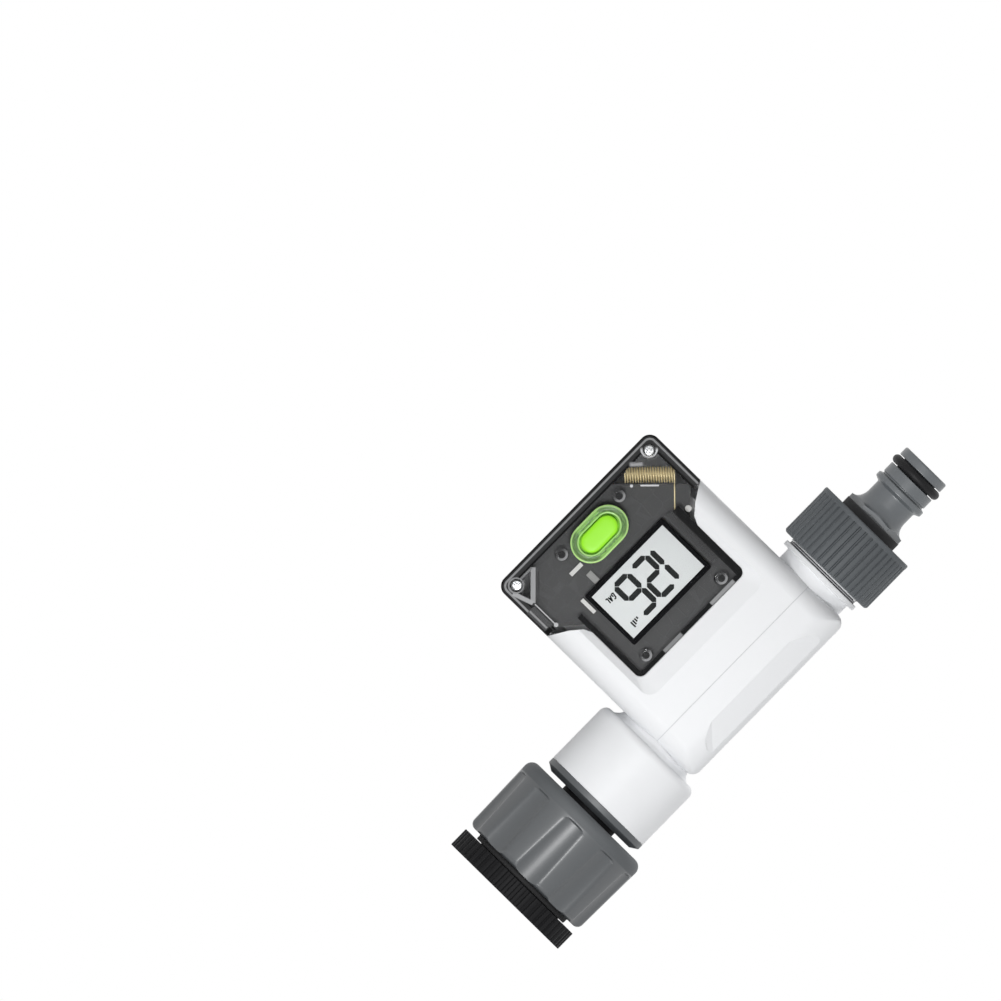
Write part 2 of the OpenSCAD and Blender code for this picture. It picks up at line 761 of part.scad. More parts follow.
// What the tap screws into, with a screw thread of its own for the swivel nut
module thread_adapter() {
    color(black)
        difference() {
            union() {
                translate([flange_x, 0, 0])
                    rotate([0, 90, 0])
                        linear_extrude(height = adapter_flange_l)
                            ribbed(adapter_r, adapter_rib_depth, adapter_ribs, 0.4);
                x_bar(spigot_end_x, flange_x + 1, adapter_thread_r);
            }
            x_bar(-tap_thread_l, 1, tap_thread_r);
            x_bar(pocket_end_x - seat_gap, -tap_thread_l, washer_pocket_r);
            x_bar(spigot_end_x - 1, 0, adapter_bore_r);
        }
}

module tap_washer() {
    color(rubber_black)
        x_ring(filter_front_x, washer_front_x, tap_washer_r, adapter_bore_r);
}

module filter_screen() {
    mesh_r = adapter_bore_r - 0.6;
    rows = floor(mesh_r / filter_pitch);
    color(steel)
        difference() {
            x_bar(pocket_end_x, filter_front_x, tap_washer_r);
            for (i = [-rows : rows], j = [-rows : rows])
                if (norm([i, j]) * filter_pitch < mesh_r - 1)
                    translate([0, i * filter_pitch, j * filter_pitch])
                        x_bar(pocket_end_x - 1, filter_front_x + 1, 0.85);
        }
}

// The swivel nut: fluted outside, threaded inside, with a rear wall that turns on the neck
module inlet_nut() {
    body_front_x = nut_front_x - nut_collar_l;
    flute_l = body_front_x - nut_rear_x - nut_band_l;
    flute_tilt = atan(0.35 * nut_flute_depth / flute_l);
    color(grey)
        difference() {
            union() {
                x_bar(body_front_x - 0.5, nut_front_x, nut_collar_r);
                x_bar(nut_rear_x + nut_edge_r, body_front_x - 2, nut_r);
                turned([
                    [0, nut_rear_x], [nut_r - nut_edge_r, nut_rear_x],
                    for (a = [15 : 15 : 75])
                        [nut_r - nut_edge_r * (1 - sin(a)), nut_rear_x + nut_edge_r * (1 - cos(a))],
                    [nut_r, nut_rear_x + nut_edge_r], [0, nut_rear_x + nut_edge_r]
                ]);
                turned([
                    [0, body_front_x], [nut_r - 2, body_front_x], [nut_r - 0.6, body_front_x - 0.6],
                    [nut_r, body_front_x - 2], [0, body_front_x - 2]
                ]);
            }
            for (i = [0 : nut_flutes - 1])
                rotate([360 / nut_flutes * i + 90, 0, 0])
                    translate([nut_rear_x + nut_band_l, 0, nut_r + nut_flute_r - 0.65 * nut_flute_depth])
                        rotate([0, 90 + flute_tilt, 0])
                            cylinder(h = flute_l + 4, r = nut_flute_r);
            x_bar(nut_seat_x, nut_front_x + 1, nut_bore_r);
            x_bar(nut_rear_x - 1, nut_front_x, neck_r + run_fit);
        }
}

module nut_washer() {
    color(rubber_black)
        x_ring(tail_front_x, tail_front_x + nut_washer_t, tail_flange_r, adapter_bore_r);
}

// The neck that the nut turns on, held in the cap by a spring ring
module inlet_tailpiece() {
    color(black)
        difference() {
            union() {
                x_bar(tail_rear_x, tail_front_x, tail_flange_r);
                x_bar(tail_end_x, tail_front_x, neck_r);
            }
            x_bar(tail_end_x - 1, tail_front_x + 1, neck_bore_r);
            x_ring(tail_ring_x - 1, tail_ring_x + 1, neck_r + 1, neck_r - 2 * tail_ring_section);
            x_ring(clip_x - clip_t - 0.1, clip_x + 0.1, neck_r + 1, clip_inner_r - 0.05);
        }
}

module tail_o_ring() {
    color(rubber_black)
        o_ring(tail_ring_x, neck_r - tail_ring_section, tail_ring_section);
}

module tail_clip() {
    color(steel)
        difference() {
            x_ring(clip_x - clip_t, clip_x, clip_outer_r, clip_inner_r);
            translate([clip_x - clip_t - 1, -1.5, -clip_outer_r - 1])
                cube([clip_t + 2, 3, clip_outer_r]);
        }
}

// The grey ring in front of the barrel, with a spigot that is pushed into it
module inlet_cap() {
    color(grey)
        difference() {
            union() {
                turned([
                    [0, cap_front_x], [barrel_r - cap_chamfer_w, cap_front_x],
                    [barrel_r, cap_front_x - cap_chamfer_l], [barrel_r, barrel_front_x], [0, barrel_front_x]
                ]);
                x_bar(cap_end_x, barrel_front_x + 0.5, cap_spigot_r);
            }
            x_bar(cap_end_x - 1, cap_web_x, cap_inner_r);
            x_bar(cap_end_x - 1, cap_front_x + 1, neck_r + run_fit);
            x_ring(cap_ring_x - cap_ring_section - 0.2, cap_ring_x + cap_ring_section + 0.2,
                cap_spigot_r + 1, cap_spigot_r - 2 * cap_ring_section);
        }
}

module cap_o_ring() {
    color(rubber_black)
        o_ring(cap_ring_x, cap_spigot_r - cap_ring_section, cap_ring_section);
}

// Inlet barrel, rotor chamber and outlet spigot in one moulding
module flow_tube() {
    collar_front_x = housing_front_x - wall - joint_gap;
    collar_rear_x = housing_rear_x + wall + joint_gap;
    color(white)
        difference() {
            union() {
                turned([
                    [0, barrel_front_x],
                    [barrel_r, barrel_front_x],
                    [barrel_r, barrel_rear_x + barrel_edge_r],
                    for (a = [15 : 15 : 75])
                        [barrel_r - barrel_edge_r * (1 - cos(a)),
                            barrel_rear_x + barrel_edge_r * (1 - sin(a))],
                    [barrel_r - barrel_edge_r, barrel_rear_x], [flare_r, barrel_rear_x],
                    [inlet_neck_r + 0.5, barrel_rear_x - flare_l * 0.6],
                    [inlet_neck_r, barrel_rear_x - flare_l], [0, barrel_rear_x - flare_l]
                ]);
                x_bar(collar_front_x - 0.5, barrel_rear_x - flare_l + 0.5, inlet_neck_r);
                x_bar(collar_front_x - collar_t, collar_front_x, collar_r);
                x_bar(collar_rear_x, collar_front_x, tube_r);
                x_bar(collar_rear_x, collar_rear_x + collar_t, collar_r);
                x_bar(tube_end_x + 1, collar_rear_x + 0.5, outlet_neck_r);
                x_bar(thread_front_x, thread_front_x + outlet_ring_l, outlet_ring_r);
                x_bar(tube_end_x, thread_front_x - thread_ring_t - 0.1, outlet_thread_r);
            }
            x_bar(barrel_seat_x, barrel_front_x + 1, barrel_bore_r);
            x_bar(holder_rear_x, barrel_front_x, rotor_bore_r);
            x_bar(tube_end_x - 1, barrel_front_x, outlet_bore_r);
        }
}

module thread_ring() {
    color(rubber_black)
        x_ring(thread_front_x - thread_ring_t, thread_front_x, thread_ring_r, outlet_neck_r + 0.05);
}

// Vanes that stop the water swirling, with the rotor's front bearing in their hub
module flow_straightener() {
    sleeve_r = rotor_bore_r - 0.1;
    color(grey)
        difference() {
            union() {
                x_ring(barrel_seat_x, straightener_front_x, barrel_bore_r - 0.3, sleeve_r - vane_t);
                x_ring(vane_end_x, straightener_front_x, sleeve_r, sleeve_r - vane_t);
                x_bar(vane_end_x, straightener_front_x, rotor_hub_r);
                for (i = [0 : vanes - 1])
                    rotate([360 / vanes * i, 0, 0])
                        translate([vane_end_x, -vane_t / 2, 0])
                            cube([straightener_front_x - vane_end_x, vane_t, sleeve_r - vane_t / 2]);
            }
            x_bar(front_bush_x - 1, front_bush_x + bush_l, bush_r + 0.02);
            x_bar(front_bush_x - 1, front_bush_x + bush_l + 1, shaft_r + 0.3);
        }
}

module front_bush() {
    color(steel)
        x_ring(front_bush_x, front_bush_x + bush_l, bush_r, shaft_r + run_fit);
}

module rear_bearing_holder() {
    ring_r = rotor_bore_r - 0.1;
    color(grey)
        difference() {
            union() {
                x_ring(holder_rear_x, holder_front_x, ring_r, ring_r - vane_t);
                x_bar(holder_rear_x, holder_front_x, rotor_hub_r);
                for (i = [0 : 2])
                    rotate([120 * i, 0, 0])
                        translate([holder_rear_x, -vane_t / 2, 0])
                            cube([rear_holder_l, vane_t, ring_r - vane_t / 2]);
            }
            x_bar(rear_bush_x - bush_l, rear_bush_x + 1, bush_r + 0.02);
            x_bar(rear_bush_x - bush_l - 1, rear_bush_x, shaft_r + 0.3);
        }
}

module rear_bush() {
    color(steel)
        x_ring(rear_bush_x - bush_l, rear_bush_x, bush_r, shaft_r + run_fit);
}

// The blades are drawn slanted and trimmed to the rotor's radius
module rotor() {
    color(white)
        difference() {
            union() {
                x_bar(rotor_rear_x, rotor_front_x, rotor_hub_r);
                intersection() {
                    x_ring(rotor_rear_x, rotor_front_x, rotor_r, rotor_hub_r - 0.3);
                    union() {
                        for (i = [0 : rotor_blades - 1])
                            rotate([360 / rotor_blades * i, 0, 0])
                                translate([(rotor_front_x + rotor_rear_x) / 2, 0, rotor_r / 2])
                                    rotate([0, 0, blade_angle])
                                        cube([rotor_l * 1.3, vane_t, rotor_r + 1], center = true);
                    }
                }
            }
            x_bar(rotor_rear_x - 1, rotor_front_x + 1, shaft_r + 0.01);
            x_bar(magnet_rear_x, rotor_front_x + 1, magnet_r + 0.02);
        }
}

module rotor_shaft() {
    color(steel)
        x_bar(rear_bush_x - bush_l + 0.2, front_bush_x + bush_l - 0.2, shaft_r);
}

module rotor_magnet() {
    color([0.25, 0.25, 0.27])
        x_ring(magnet_rear_x, rotor_front_x, magnet_r, shaft_r + 0.02);
}

// The battery door's outline, grown outwards by g
module door_outline(g) {
    w = door_half_w + g;
    h = door_half_h + g;
    soft_rect(-w, w, -bay_z - h, -bay_z + h, [1, 1, 1, 1] * (door_corner_r + g));
}

// Bay for the cells: walls that stand in from the rear, with the seat for the door
module bay_walls() {
    block(-bay_half_l - bay_wall, bay_half_l + bay_wall, bay_floor - bay_wall, seat_y,
        -bay_z - bay_half_h - bay_wall, -bay_z + bay_half_h + bay_wall);
    block(-door_half_w - 1, door_half_w + 1, seat_y - door_seat_t, rear_y - wall / 2,
        -bay_z - door_half_h - 1, -bay_z + door_half_h + 1);
    for (side = [-1, 1], end = [-1, 1])
        y_bar(end * door_screw_x, -bay_z + side * door_screw_z, bay_floor + 3, seat_y, door_screw_r + 1.3);
}

module bay_cuts() {
    block(-bay_half_l, bay_half_l, bay_floor, rear_y + 1, -bay_z - bay_half_h, -bay_z + bay_half_h);
    front_plate(seat_y, rear_y + 1)
        door_outline(slide_gap);
    for (side = [-1, 1], end = [-1, 1])
        y_bar(end * door_screw_x, -bay_z + side * door_screw_z, bay_floor + 4, rear_y,
            door_screw_r + run_fit);
    for (z = cell_zs)
        y_bar(bay_half_l - 1.4, z, bay_floor - bay_wall - 1, bay_floor + 1, lead_d / 2 + 0.15);
}

// The necks' holes in the end walls, with a groove behind each for the tube's collars
module tube_seat() {
    groove_l = collar_t + 2 * joint_gap;
    x_bar(housing_front_x - wall - 1, housing_front_x + 1, inlet_neck_r + joint_gap);
    x_bar(housing_rear_x - 1, housing_rear_x + wall + 1, outlet_neck_r + joint_gap);
    x_bar(housing_front_x - wall - groove_l, housing_front_x - wall, collar_r + joint_gap);
    x_bar(housing_rear_x + wall, housing_rear_x + wall + groove_l, collar_r + joint_gap);
}

// White moulding with the display's window in front and the battery bay behind
module main_housing() {
    color(white)
        difference() {
            union() {
                difference() {
                    housing_form(0);
                    rounded_form(wall, cover_y - wall, -housing_drop, 0,
                        corner_r, 0, front_edge_r, rear_edge_r, 0);
                }
                intersection() {
                    housing_form(0.5);
                    union() {
                        bay_walls();
                        for (side = [-1, 1])
                            y_bar(side * cover_screw_x, cover_screw_z, split_y, rear_y - 1, boss_r);
                    }
                }
            }
            front_plate(front_y - 1, cover_y)
                window_outline(0);
            front_plate(front_y - 1, split_y)
                flared_outline(0);
            bay_cuts();
            for (side = [-1, 1])
                y_bar(side * cover_screw_x, cover_screw_z, split_y - 1, rear_y - wall, cover_screw_r + 0.03);
            tube_seat();
            window_bevel();
        }
}

// The slope from the housing's front down to the window, steeper at the sides than above
module window_bevel() {
    hull() {
        front_plate(cover_y - 0.02, cover_y)
            arch(window_half_w, -window_top, window_corner_r);
        front_plate(front_y - 0.5, front_y)
            arch(window_half_w + bevel_w, -window_top + bevel_top_w, bevel_corner_r);
    }
}

// A tall rectangle with round upper corners
module arch(w, top, r) {
    translate([-w, -housing_drop])
        square([2 * w, housing_drop + top - r]);
    for (side = [-1, 1])
        translate([side * (w - r), top - r])
            circle(r = r, $fn = 40);
}

// One snap hook of the pipe cover, which runs down inside the housing's wall
module snap_hook(x, y) {
    inner = half_depth - wall - joint_gap;
    x_at = x * (half_l - hook_inset);
    y_far = y > 0 ? inner : -inner + front_wall - wall;
    y0 = y > 0 ? y_far - hook_t : y_far;
    block(x_at - hook_w / 2, x_at + hook_w / 2, y0, y0 + hook_t, -hook_l, 3);
    block(x_at - hook_w / 2, x_at + hook_w / 2, min(y0, y * (half_depth - wall / 2)),
        max(y0 + hook_t, y * (half_depth - wall / 2)), 0.5, 3);
}

module pipe_cover() {
    color(white)
        difference() {
            union() {
                difference() {
                    cover_form(0);
                    cover_form(wall);
                }
                for (x = [-1, 1], y = [-1, 1])
                    snap_hook(x, y);
            }
            tube_seat();
            translate([mid_x, front_y, recess_z])
                rotate([90 - recess_lean, 0, 0])
                    hull() {
                        recess_plate(0, 0);
                        recess_plate(1, recess_end_w * 1.4);
                    }
        }
}

// The recess's outline, raised by h from its floor and wider by g at each end
module recess_plate(h, g) {
    up = 14;
    wide = recess_half_w + up * (recess_top_half_w - recess_half_w) / (cover_rise - recess_z);
    translate([0, 0, h])
        linear_extrude(height = 0.01)
            polygon([
                [-recess_half_w - g, -g], [recess_half_w + g, -g], [wide + g, up], [-wide - g, up]
            ]);
}

// Clear tray over the whole panel end, with a plate that runs up into the window
module display_cover() {
    color(clear)
        difference() {
            union() {
                intersection() {
                    difference() {
                        window_form(0);
                        rounded_form(cover_wall, cover_y + cover_t - cover_wall, -housing_drop, 0,
                            corner_r, 0, cover_front_r, cover_front_r, 0);
                    }
                    front_plate(cover_y - 1, split_y - joint_gap)
                        flared_outline(-joint_gap);
                }
                intersection() {
                    front_plate(cover_y, cover_back_y)
                        window_outline(cover_tongue);
                    rounded_form(wall + joint_gap, cover_y - wall - joint_gap, -housing_drop, 0,
                        corner_r, 0, front_edge_r, front_edge_r, 0);
                }
                for (p = board_posts)
                    y_bar(p[0], p[1], cover_y + 0.5, board_y, post_r);
                intersection() {
                    window_form(0.5);
                    for (side = [-1, 1])
                        y_bar(side * cover_screw_x, cover_screw_z, cover_y + 0.5, split_y - joint_gap,
                            boss_r);
                }
                corner_web();
            }
            for (p = board_posts)
                y_bar(p[0], p[1], cover_back_y, board_y + 1, board_screw_r + 0.03);
            for (side = [-1, 1]) {
                y_bar(side * cover_screw_x, cover_screw_z, cover_y - 1, split_y, cover_screw_r + 0.15);
                y_bar(side * cover_screw_x, cover_screw_z, cover_y - 1, screw_seat_y,
                    cover_screw_head_r + 0.2);
            }
            front_plate(cover_y - 1, cover_back_y + 1)
                translate([0, -key_z])
                    stadium(ring_w - 2 * ring_lip, ring_h - 2 * ring_lip);
            clip_notch();
        }
}

// A slanted web that ties the inlet-side corner boss to the walls
module corner_web() {
    intersection() {
        window_form(0.5);
        translate([mid_x + cover_screw_x - web_off, cover_y + 0.5, cover_screw_z + web_off])
            rotate([0, -45, 0])
                translate([-web_l / 2, 0, 0])
                    cube([web_l, board_y - cover_y - 0.7, web_t]);
    }
}

// A slot in the side wall that the housing's catch snaps into
module clip_notch() {
    block(half_l - cover_wall - 1, half_l - cover_wall + 0.5, board_y, split_y - 2,
        -clip_z - clip_h / 2, -clip_z + clip_h / 2);
}

// The cross in a screw's head
module cross_recess(x, y, z, head_r) {
    for (turn = [0, 90])
        translate([mid_x + x, y, z])
            rotate([0, turn, 0])
                cube([1.25 * head_r, 1.2, 0.28 * head_r], center = true);
}

module cover_screws() {
    color(steel)
        for (side = [-1, 1]) {
            difference() {
                y_bar(side * cover_screw_x, cover_screw_z, screw_seat_y - cover_screw_head_t, screw_seat_y,
                    cover_screw_head_r);
                cross_recess(side * cover_screw_x, screw_seat_y - cover_screw_head_t, cover_screw_z,
                    cover_screw_head_r);
            }
            y_bar(side * cover_screw_x, cover_screw_z, screw_seat_y, split_y + cover_screw_grip,
                cover_screw_r);
        }
}

// The board follows the cover's shape, with cut corners beside the corner screws
module board_outline() {
    w = half_l - cover_wall - board_edge_gap;
    low = -housing_drop + cover_wall + board_edge_gap;
    high = -window_top - board_edge_gap + 0.3;
    antenna_cut = w - low - antenna_x - antenna_z + (antenna_d / 2 + slide_gap) * sqrt(2);
    polygon([
        [board_half_w, high], [board_half_w, -window_widen - 2], [w, -window_full - 1],
        [w, low + board_chamfer], [w - board_chamfer, low],
        [-w + antenna_cut, low], [-w, low + antenna_cut], [-w, -window_full - 1],
        [-board_half_w, -window_widen - 2], [-board_half_w, high]
    ]);
}

module circuit_board() {
    color(board_grey)
        difference() {
            front_plate(board_y, board_back_y)
                board_outline();
            for (p = board_posts)
                y_bar(p[0], p[1], board_y - 1, board_back_y + 1, board_screw_r + 0.2);
        }
}

module board_screws() {
    color(steel)
        for (p = board_posts) {
            y_bar(p[0], p[1], board_y - board_screw_grip, board_back_y, board_screw_r);
            y_bar(p[0], p[1], board_back_y, board_back_y + 1.1, board_screw_head_r);
        }
}

// Metal can over the radio, on the back of the board
module radio_module() {
    x0 = radio_at[0];
    z0 = radio_at[1];
    can_wall = 0.4;
    color(steel)
        difference() {
            block(x0, x0 + radio_w, board_back_y, board_back_y + radio_t, z0, z0 + radio_h);
            block(x0 + can_wall, x0 + radio_w - can_wall, board_back_y - 1, board_back_y + radio_t - can_wall,
                z0 + can_wall, z0 + radio_h - can_wall);
        }
}

module processor_chip() {
    color(black)
        block(chip_at[0], chip_at[0] + chip_w, board_back_y, board_back_y + chip_t,
            chip_at[1], chip_at[1] + chip_w);
}

// A small part soldered to the front of the board, as [x, z, width, height, thickness]
module small_part(p) {
    block(p[0] - p[2] / 2, p[0] + p[2] / 2, board_y - p[4], board_y, p[1] - p[3] / 2, p[1] + p[3] / 2);
}

module board_components() {
    color([0.88, 0.88, 0.86]) {
        for (p = small_parts)
            small_part(p);
        y_bar(test_point[0], test_point[1], board_y - 0.7, board_y, 1);
    }
}

// Frame round the display, with a lip over the edge of the glass
module lcd_bezel() {
    color(black)
        difference() {
            block(-bezel_w / 2, bezel_w / 2, bezel_y, board_y, -lcd_z - bezel_h / 2, -lcd_z + bezel_h / 2);
            block(-lcd_w / 2, lcd_w / 2, bezel_y - 1, board_y + 1, -lcd_z - lcd_h / 2, -lcd_z + lcd_h / 2);
            block(-glass_half_w - 0.1, glass_half_w + 0.1, glass_y - 0.05, board_y + 1,
                -lcd_z - glass_half_h - 0.1, -lcd_z + glass_half_h + 0.1);
        }
}

module lcd_panel() {
    color([0.84, 0.86, 0.86])
        block(-glass_half_w, glass_half_w, glass_y, glass_y + lcd_t,
            -lcd_z - glass_half_h, -lcd_z + glass_half_h);
}

module lcd_contact_strips() {
    color([0.8, 0.6, 0.65])
        for (side = [-1, 1])
            block(-glass_half_w + 0.5, glass_half_w - 0.5, glass_y + lcd_t, board_y,
                -lcd_z + side * (glass_half_h - strip_w / 2) - strip_w / 2,
                -lcd_z + side * (glass_half_h - strip_w / 2) + strip_w / 2);
}

// Green see-through ring that lines the key's hole in the cover
module button_ring() {
    color([0.55, 0.85, 0.3, 0.7])
        translate([0, 0, -key_z])
            difference() {
                union() {
                    front_plate(cover_y - ring_proud, cover_y)
                        stadium(ring_w, ring_h);
                    front_plate(cover_y - 0.1, cover_back_y)
                        stadium(ring_w - 2 * ring_lip - 2 * joint_gap, ring_h - 2 * ring_lip - 2 * joint_gap);
                }
                front_plate(cover_y - ring_proud - 1, cover_back_y + 1)
                    stadium(key_w + 2 * slide_gap, key_h + 2 * slide_gap);
            }
}

module button_key() {
    color([0.62, 0.97, 0.2])
        translate([0, 0, -key_z]) {
            front_plate(cover_y - key_proud, key_foot_back_y - key_foot_t)
                stadium(key_w, key_h);
            front_plate(key_foot_back_y - key_foot_t, key_foot_back_y)
                stadium(key_w + 2 * key_foot_w, key_h + 2 * key_foot_w);
        }
}

module tact_switch() {
    color(black)
        difference() {
            block(-switch_w / 2, switch_w / 2, switch_top_y, board_y,
                -key_z - switch_w / 2, -key_z + switch_w / 2);
            y_bar(0, -key_z, switch_top_y - 1, board_y + 1, plunger_r + run_fit);
        }
}

module switch_plunger() {
    color([0.85, 0.85, 0.8])
        y_bar(0, -key_z, key_foot_back_y, switch_top_y + 0.5, plunger_r);
}

// A wire of round section along a path that never runs parallel to the axis given
function unit(v) = v / norm(v);
function tube_rings(path, axis, r) = [
    for (i = [0 : len(path) - 1])
        let (
            last = len(path) - 1,
            t = unit(path[min(i + 1, last)] - path[max(i - 1, 0)]),
            n = unit(cross(t, axis)),
            b = cross(t, n)
        )
        for (k = [0 : 5])
            path[i] + r * (cos(60 * k) * n + sin(60 * k) * b)
];
function tube_faces(rings) = concat(
    [for (k = [1 : 4]) [0, k + 1, k]],
    [
        for (i = [0 : rings - 2], k = [0 : 5])
            let (a = 6 * i + k, b = 6 * i + (k + 1) % 6)
            each [[a, b, b + 6], [a, b + 6, a + 6]]
    ],
    [for (k = [1 : 4]) 6 * (rings - 1) * [1, 1, 1] + [0, k, k + 1]]
);

module wire_tube(path, axis, d) {
    polyhedron(points = tube_rings(path, axis, d / 2), faces = tube_faces(len(path)));
}

// The least distance between stretches of a coil that are half a turn apart or more, less the wire
function least_gap(path, turn_steps, d) = min([
    for (i = [0 : len(path) - 1])
        for (j = [i + turn_steps / 2 : min(i + 1.5 * turn_steps, len(path) - 1)])
            norm(path[i] - path[j])
]) - d;

// Helical antenna beside the board's cut corner, whose end runs down onto the board
module antenna_coil() {
    steps = 24;
    coil_r = (antenna_d - antenna_wire_d) / 2;
    on_board = board_y - antenna_wire_d / 2 - antenna_y;
    turns = [
        for (i = [0 : steps * antenna_loops])
            let (a = i * 360 / steps - 90)
            [coil_r * cos(a), coil_r * sin(a), antenna_l * (i / steps / antenna_loops - 0.5)]
    ];
    tail = [
        for (p = [[0.8, 0], [1.8, 0.12], [2.8, 0.5], [3.8, 0.88], [4.8, 1], [antenna_tail, 1]])
            [p[0], -coil_r + p[1] * (on_board + coil_r), antenna_l / 2]
    ];
    start = [[-1.5 * antenna_wire_d, -coil_r, -antenna_l / 2]];
    path = concat(start, turns, tail);
    echo(antenna_least_gap = least_gap(turns, steps, antenna_wire_d));
    color(gold)
        translate([mid_x - antenna_x, antenna_y, -antenna_z])
            rotate([0, -45, 0])
                wire_tube(path, [0, 0, 1], antenna_wire_d);
}

// Magnetic sensor under the flow tube, beside the rotor's magnet
module hall_sensor() {
    color(black)
        block(sensor_x - sensor_w / 2, sensor_x + sensor_w / 2, -sensor_w / 2, sensor_w / 2,
            -tube_r - seat_gap - sensor_t, -tube_r - seat_gap);
}

// A wire along straight runs from point to point
module wire(points, r) {
    last = len(points) - 2;
    for (i = [0 : last]) {
        way = (points[i + 1] - points[i]) / norm(points[i + 1] - points[i]);
        start = points[i] - (i > 0 ? 0.7 * r : 0) * way;
        end = points[i + 1] + (i < last ? 0.7 * r : 0) * way;
        translate(start)
            rotate([0, acos(way[2]), atan2(way[1], way[0])])
                cylinder(h = norm(end - start), r = r);
    }
}

module sensor_leads() {
    pitch = sensor_w / 3;
    z = -tube_r - seat_gap - sensor_t / 2;
    color([0.75, 0.2, 0.15])
        for (i = [-1 : 1]) {
            x = mid_x + sensor_x + i * pitch;
            foot_x = mid_x + lead_foot[0] + i * lead_d * 1.15;
            wire([
                [x, -sensor_w / 2, z],
                [x, -sensor_w / 2 - 1.5, z],
                [foot_x, board_back_y + 1.5, lead_foot[1]],
                [foot_x, board_back_y, lead_foot[1]]
            ], lead_d / 2);
        }
}

// Rear door of the battery bay, with ribs that press on the cells
module battery_door() {
    rib_z = -bay_z - bay_half_h + 1;
    color(white)
        difference() {
            union() {
                front_plate(door_y, rear_y)
                    door_outline(0);
                for (side = [-1, 1])
                    block(side * door_rib_x - 0.6, side * door_rib_x + 0.6, cell_y + cell_r + slide_gap,
                        door_y + 0.5, rib_z, rib_z + 2 * bay_half_h - 2);
            }
            seal_ring(door_y - 1, seat_y + seal_t + 0.1, 0.1);
            for (side = [-1, 1], end = [-1, 1]) {
                y_bar(end * door_screw_x, -bay_z + side * door_screw_z, door_y - 1, rear_y,
                    door_screw_r + 0.2);
                y_bar(end * door_screw_x, -bay_z + side * door_screw_z, door_head_y, rear_y + 1,
                    door_screw_head_r + 0.15);
            }
            block(-6, 6, rear_y - 0.8, rear_y + 1, -bay_z - door_half_h + 2, -bay_z - door_half_h + 3.6);
        }
}

// A rectangular ring round the bay, grown by g on both of its sides
module seal_ring(y0, y1, g) {
    inner = 0.4 - g;
    outer = 0.4 + seal_w + g;
    front_plate(y0, y1)
        difference() {
            soft_rect(-bay_half_l - outer, bay_half_l + outer, -bay_z - bay_half_h - outer,
                -bay_z + bay_half_h + outer, [1, 1, 1, 1] * 1.6);
            soft_rect(-bay_half_l - inner, bay_half_l + inner, -bay_z - bay_half_h - inner,
                -bay_z + bay_half_h + inner, [1, 1, 1, 1] * 0.5);
        }
}

module door_seal() {
    color(rubber_black)
        seal_ring(seat_y, seat_y + seal_t, 0);
}

module door_screws() {
    color(steel)
        for (side = [-1, 1], end = [-1, 1]) {
            x = end * door_screw_x;
            z = -bay_z + side * door_screw_z;
            y_bar(x, z, door_head_y - door_screw_l, door_head_y, door_screw_r);
            difference() {
                y_bar(x, z, door_head_y, rear_y - 0.1, door_screw_head_r);
                cross_recess(x, rear_y - 0.1, z, door_screw_head_r);
            }
        }
}

// A cell, turned end for end for the second one
module cell(z, way) {
    nub_l = 1;
    nub_r = 1.9;
    color([0.25, 0.35, 0.45])
        translate([mid_x + way * cell_shift, cell_y, z])
            rotate([0, way * 90, 0]) {
                translate([0, 0, -cell_l / 2])
                    cylinder(h = cell_l - nub_l, r = cell_r);
                translate([0, 0, cell_l / 2 - nub_l])
                    cylinder(h = nub_l, r = nub_r);
            }
}

module battery_1() {
    cell(cell_zs[0], 1);
}

module battery_2() {
    cell(cell_zs[1], -1);
}

// Conical springs that press each cell at its flat end
module battery_springs() {
    steps = 8;
    l = spring_room - spring_wire_d - 0.1;
    path = [
        for (i = [0 : steps * spring_curls])
            let (
                a = i * 360 / steps,
                u = i / steps / spring_curls,
                r = (1 - u) * spring_base_r + u * spring_tip_r - spring_wire_d / 2
            )
            [r * cos(a), r * sin(a), u * l]
    ];
    echo(spring_least_gap = least_gap(path, steps, spring_wire_d));
    color(steel)
        for (i = [0, 1]) {
            way = i == 0 ? 1 : -1;
            translate([mid_x - way * (bay_half_l - contact_t - spring_wire_d / 2 - 0.05), cell_y, cell_zs[i]])
                rotate([0, way * 90, 0])
                    wire_tube(path, [0, 0, 1], spring_wire_d);
        }
}

// Plates at the ends of the bay: one joins the two cells, the others carry the leads
module battery_contacts() {
    half = cell_pitch / 2 - 1.1;
    color(steel) {
        block(-bay_half_l, -bay_half_l + contact_t, cell_y - half, cell_y + half,
            cell_zs[1] - half, cell_zs[0] + half);
        for (z = cell_zs) {
            block(bay_half_l - contact_t, bay_half_l, bay_floor, cell_y + half, z - half, z + half);
            block(bay_half_l - 2.2, bay_half_l, bay_floor, bay_floor + slide_gap / 2, z - 1.2, z + 1.2);
        }
    }
}

module battery_leads() {
    lead_y = bay_floor - bay_wall - 1.5;
    hole_x = mid_x + bay_half_l - 1.4;
    color([0.7, 0.1, 0.1])
        for (z = cell_zs)
            wire([
                [hole_x, bay_floor, z],
                [hole_x, lead_y, z],
                [mid_x + battery_lead_x, lead_y, z],
                [mid_x + battery_lead_x, board_back_y, z]
            ], lead_d / 2);
}

module outlet_washer() {
    color(rubber_black)
        x_ring(nipple_front_x, outlet_washer_front_x, nipple_flange_r, outlet_bore_r);
}

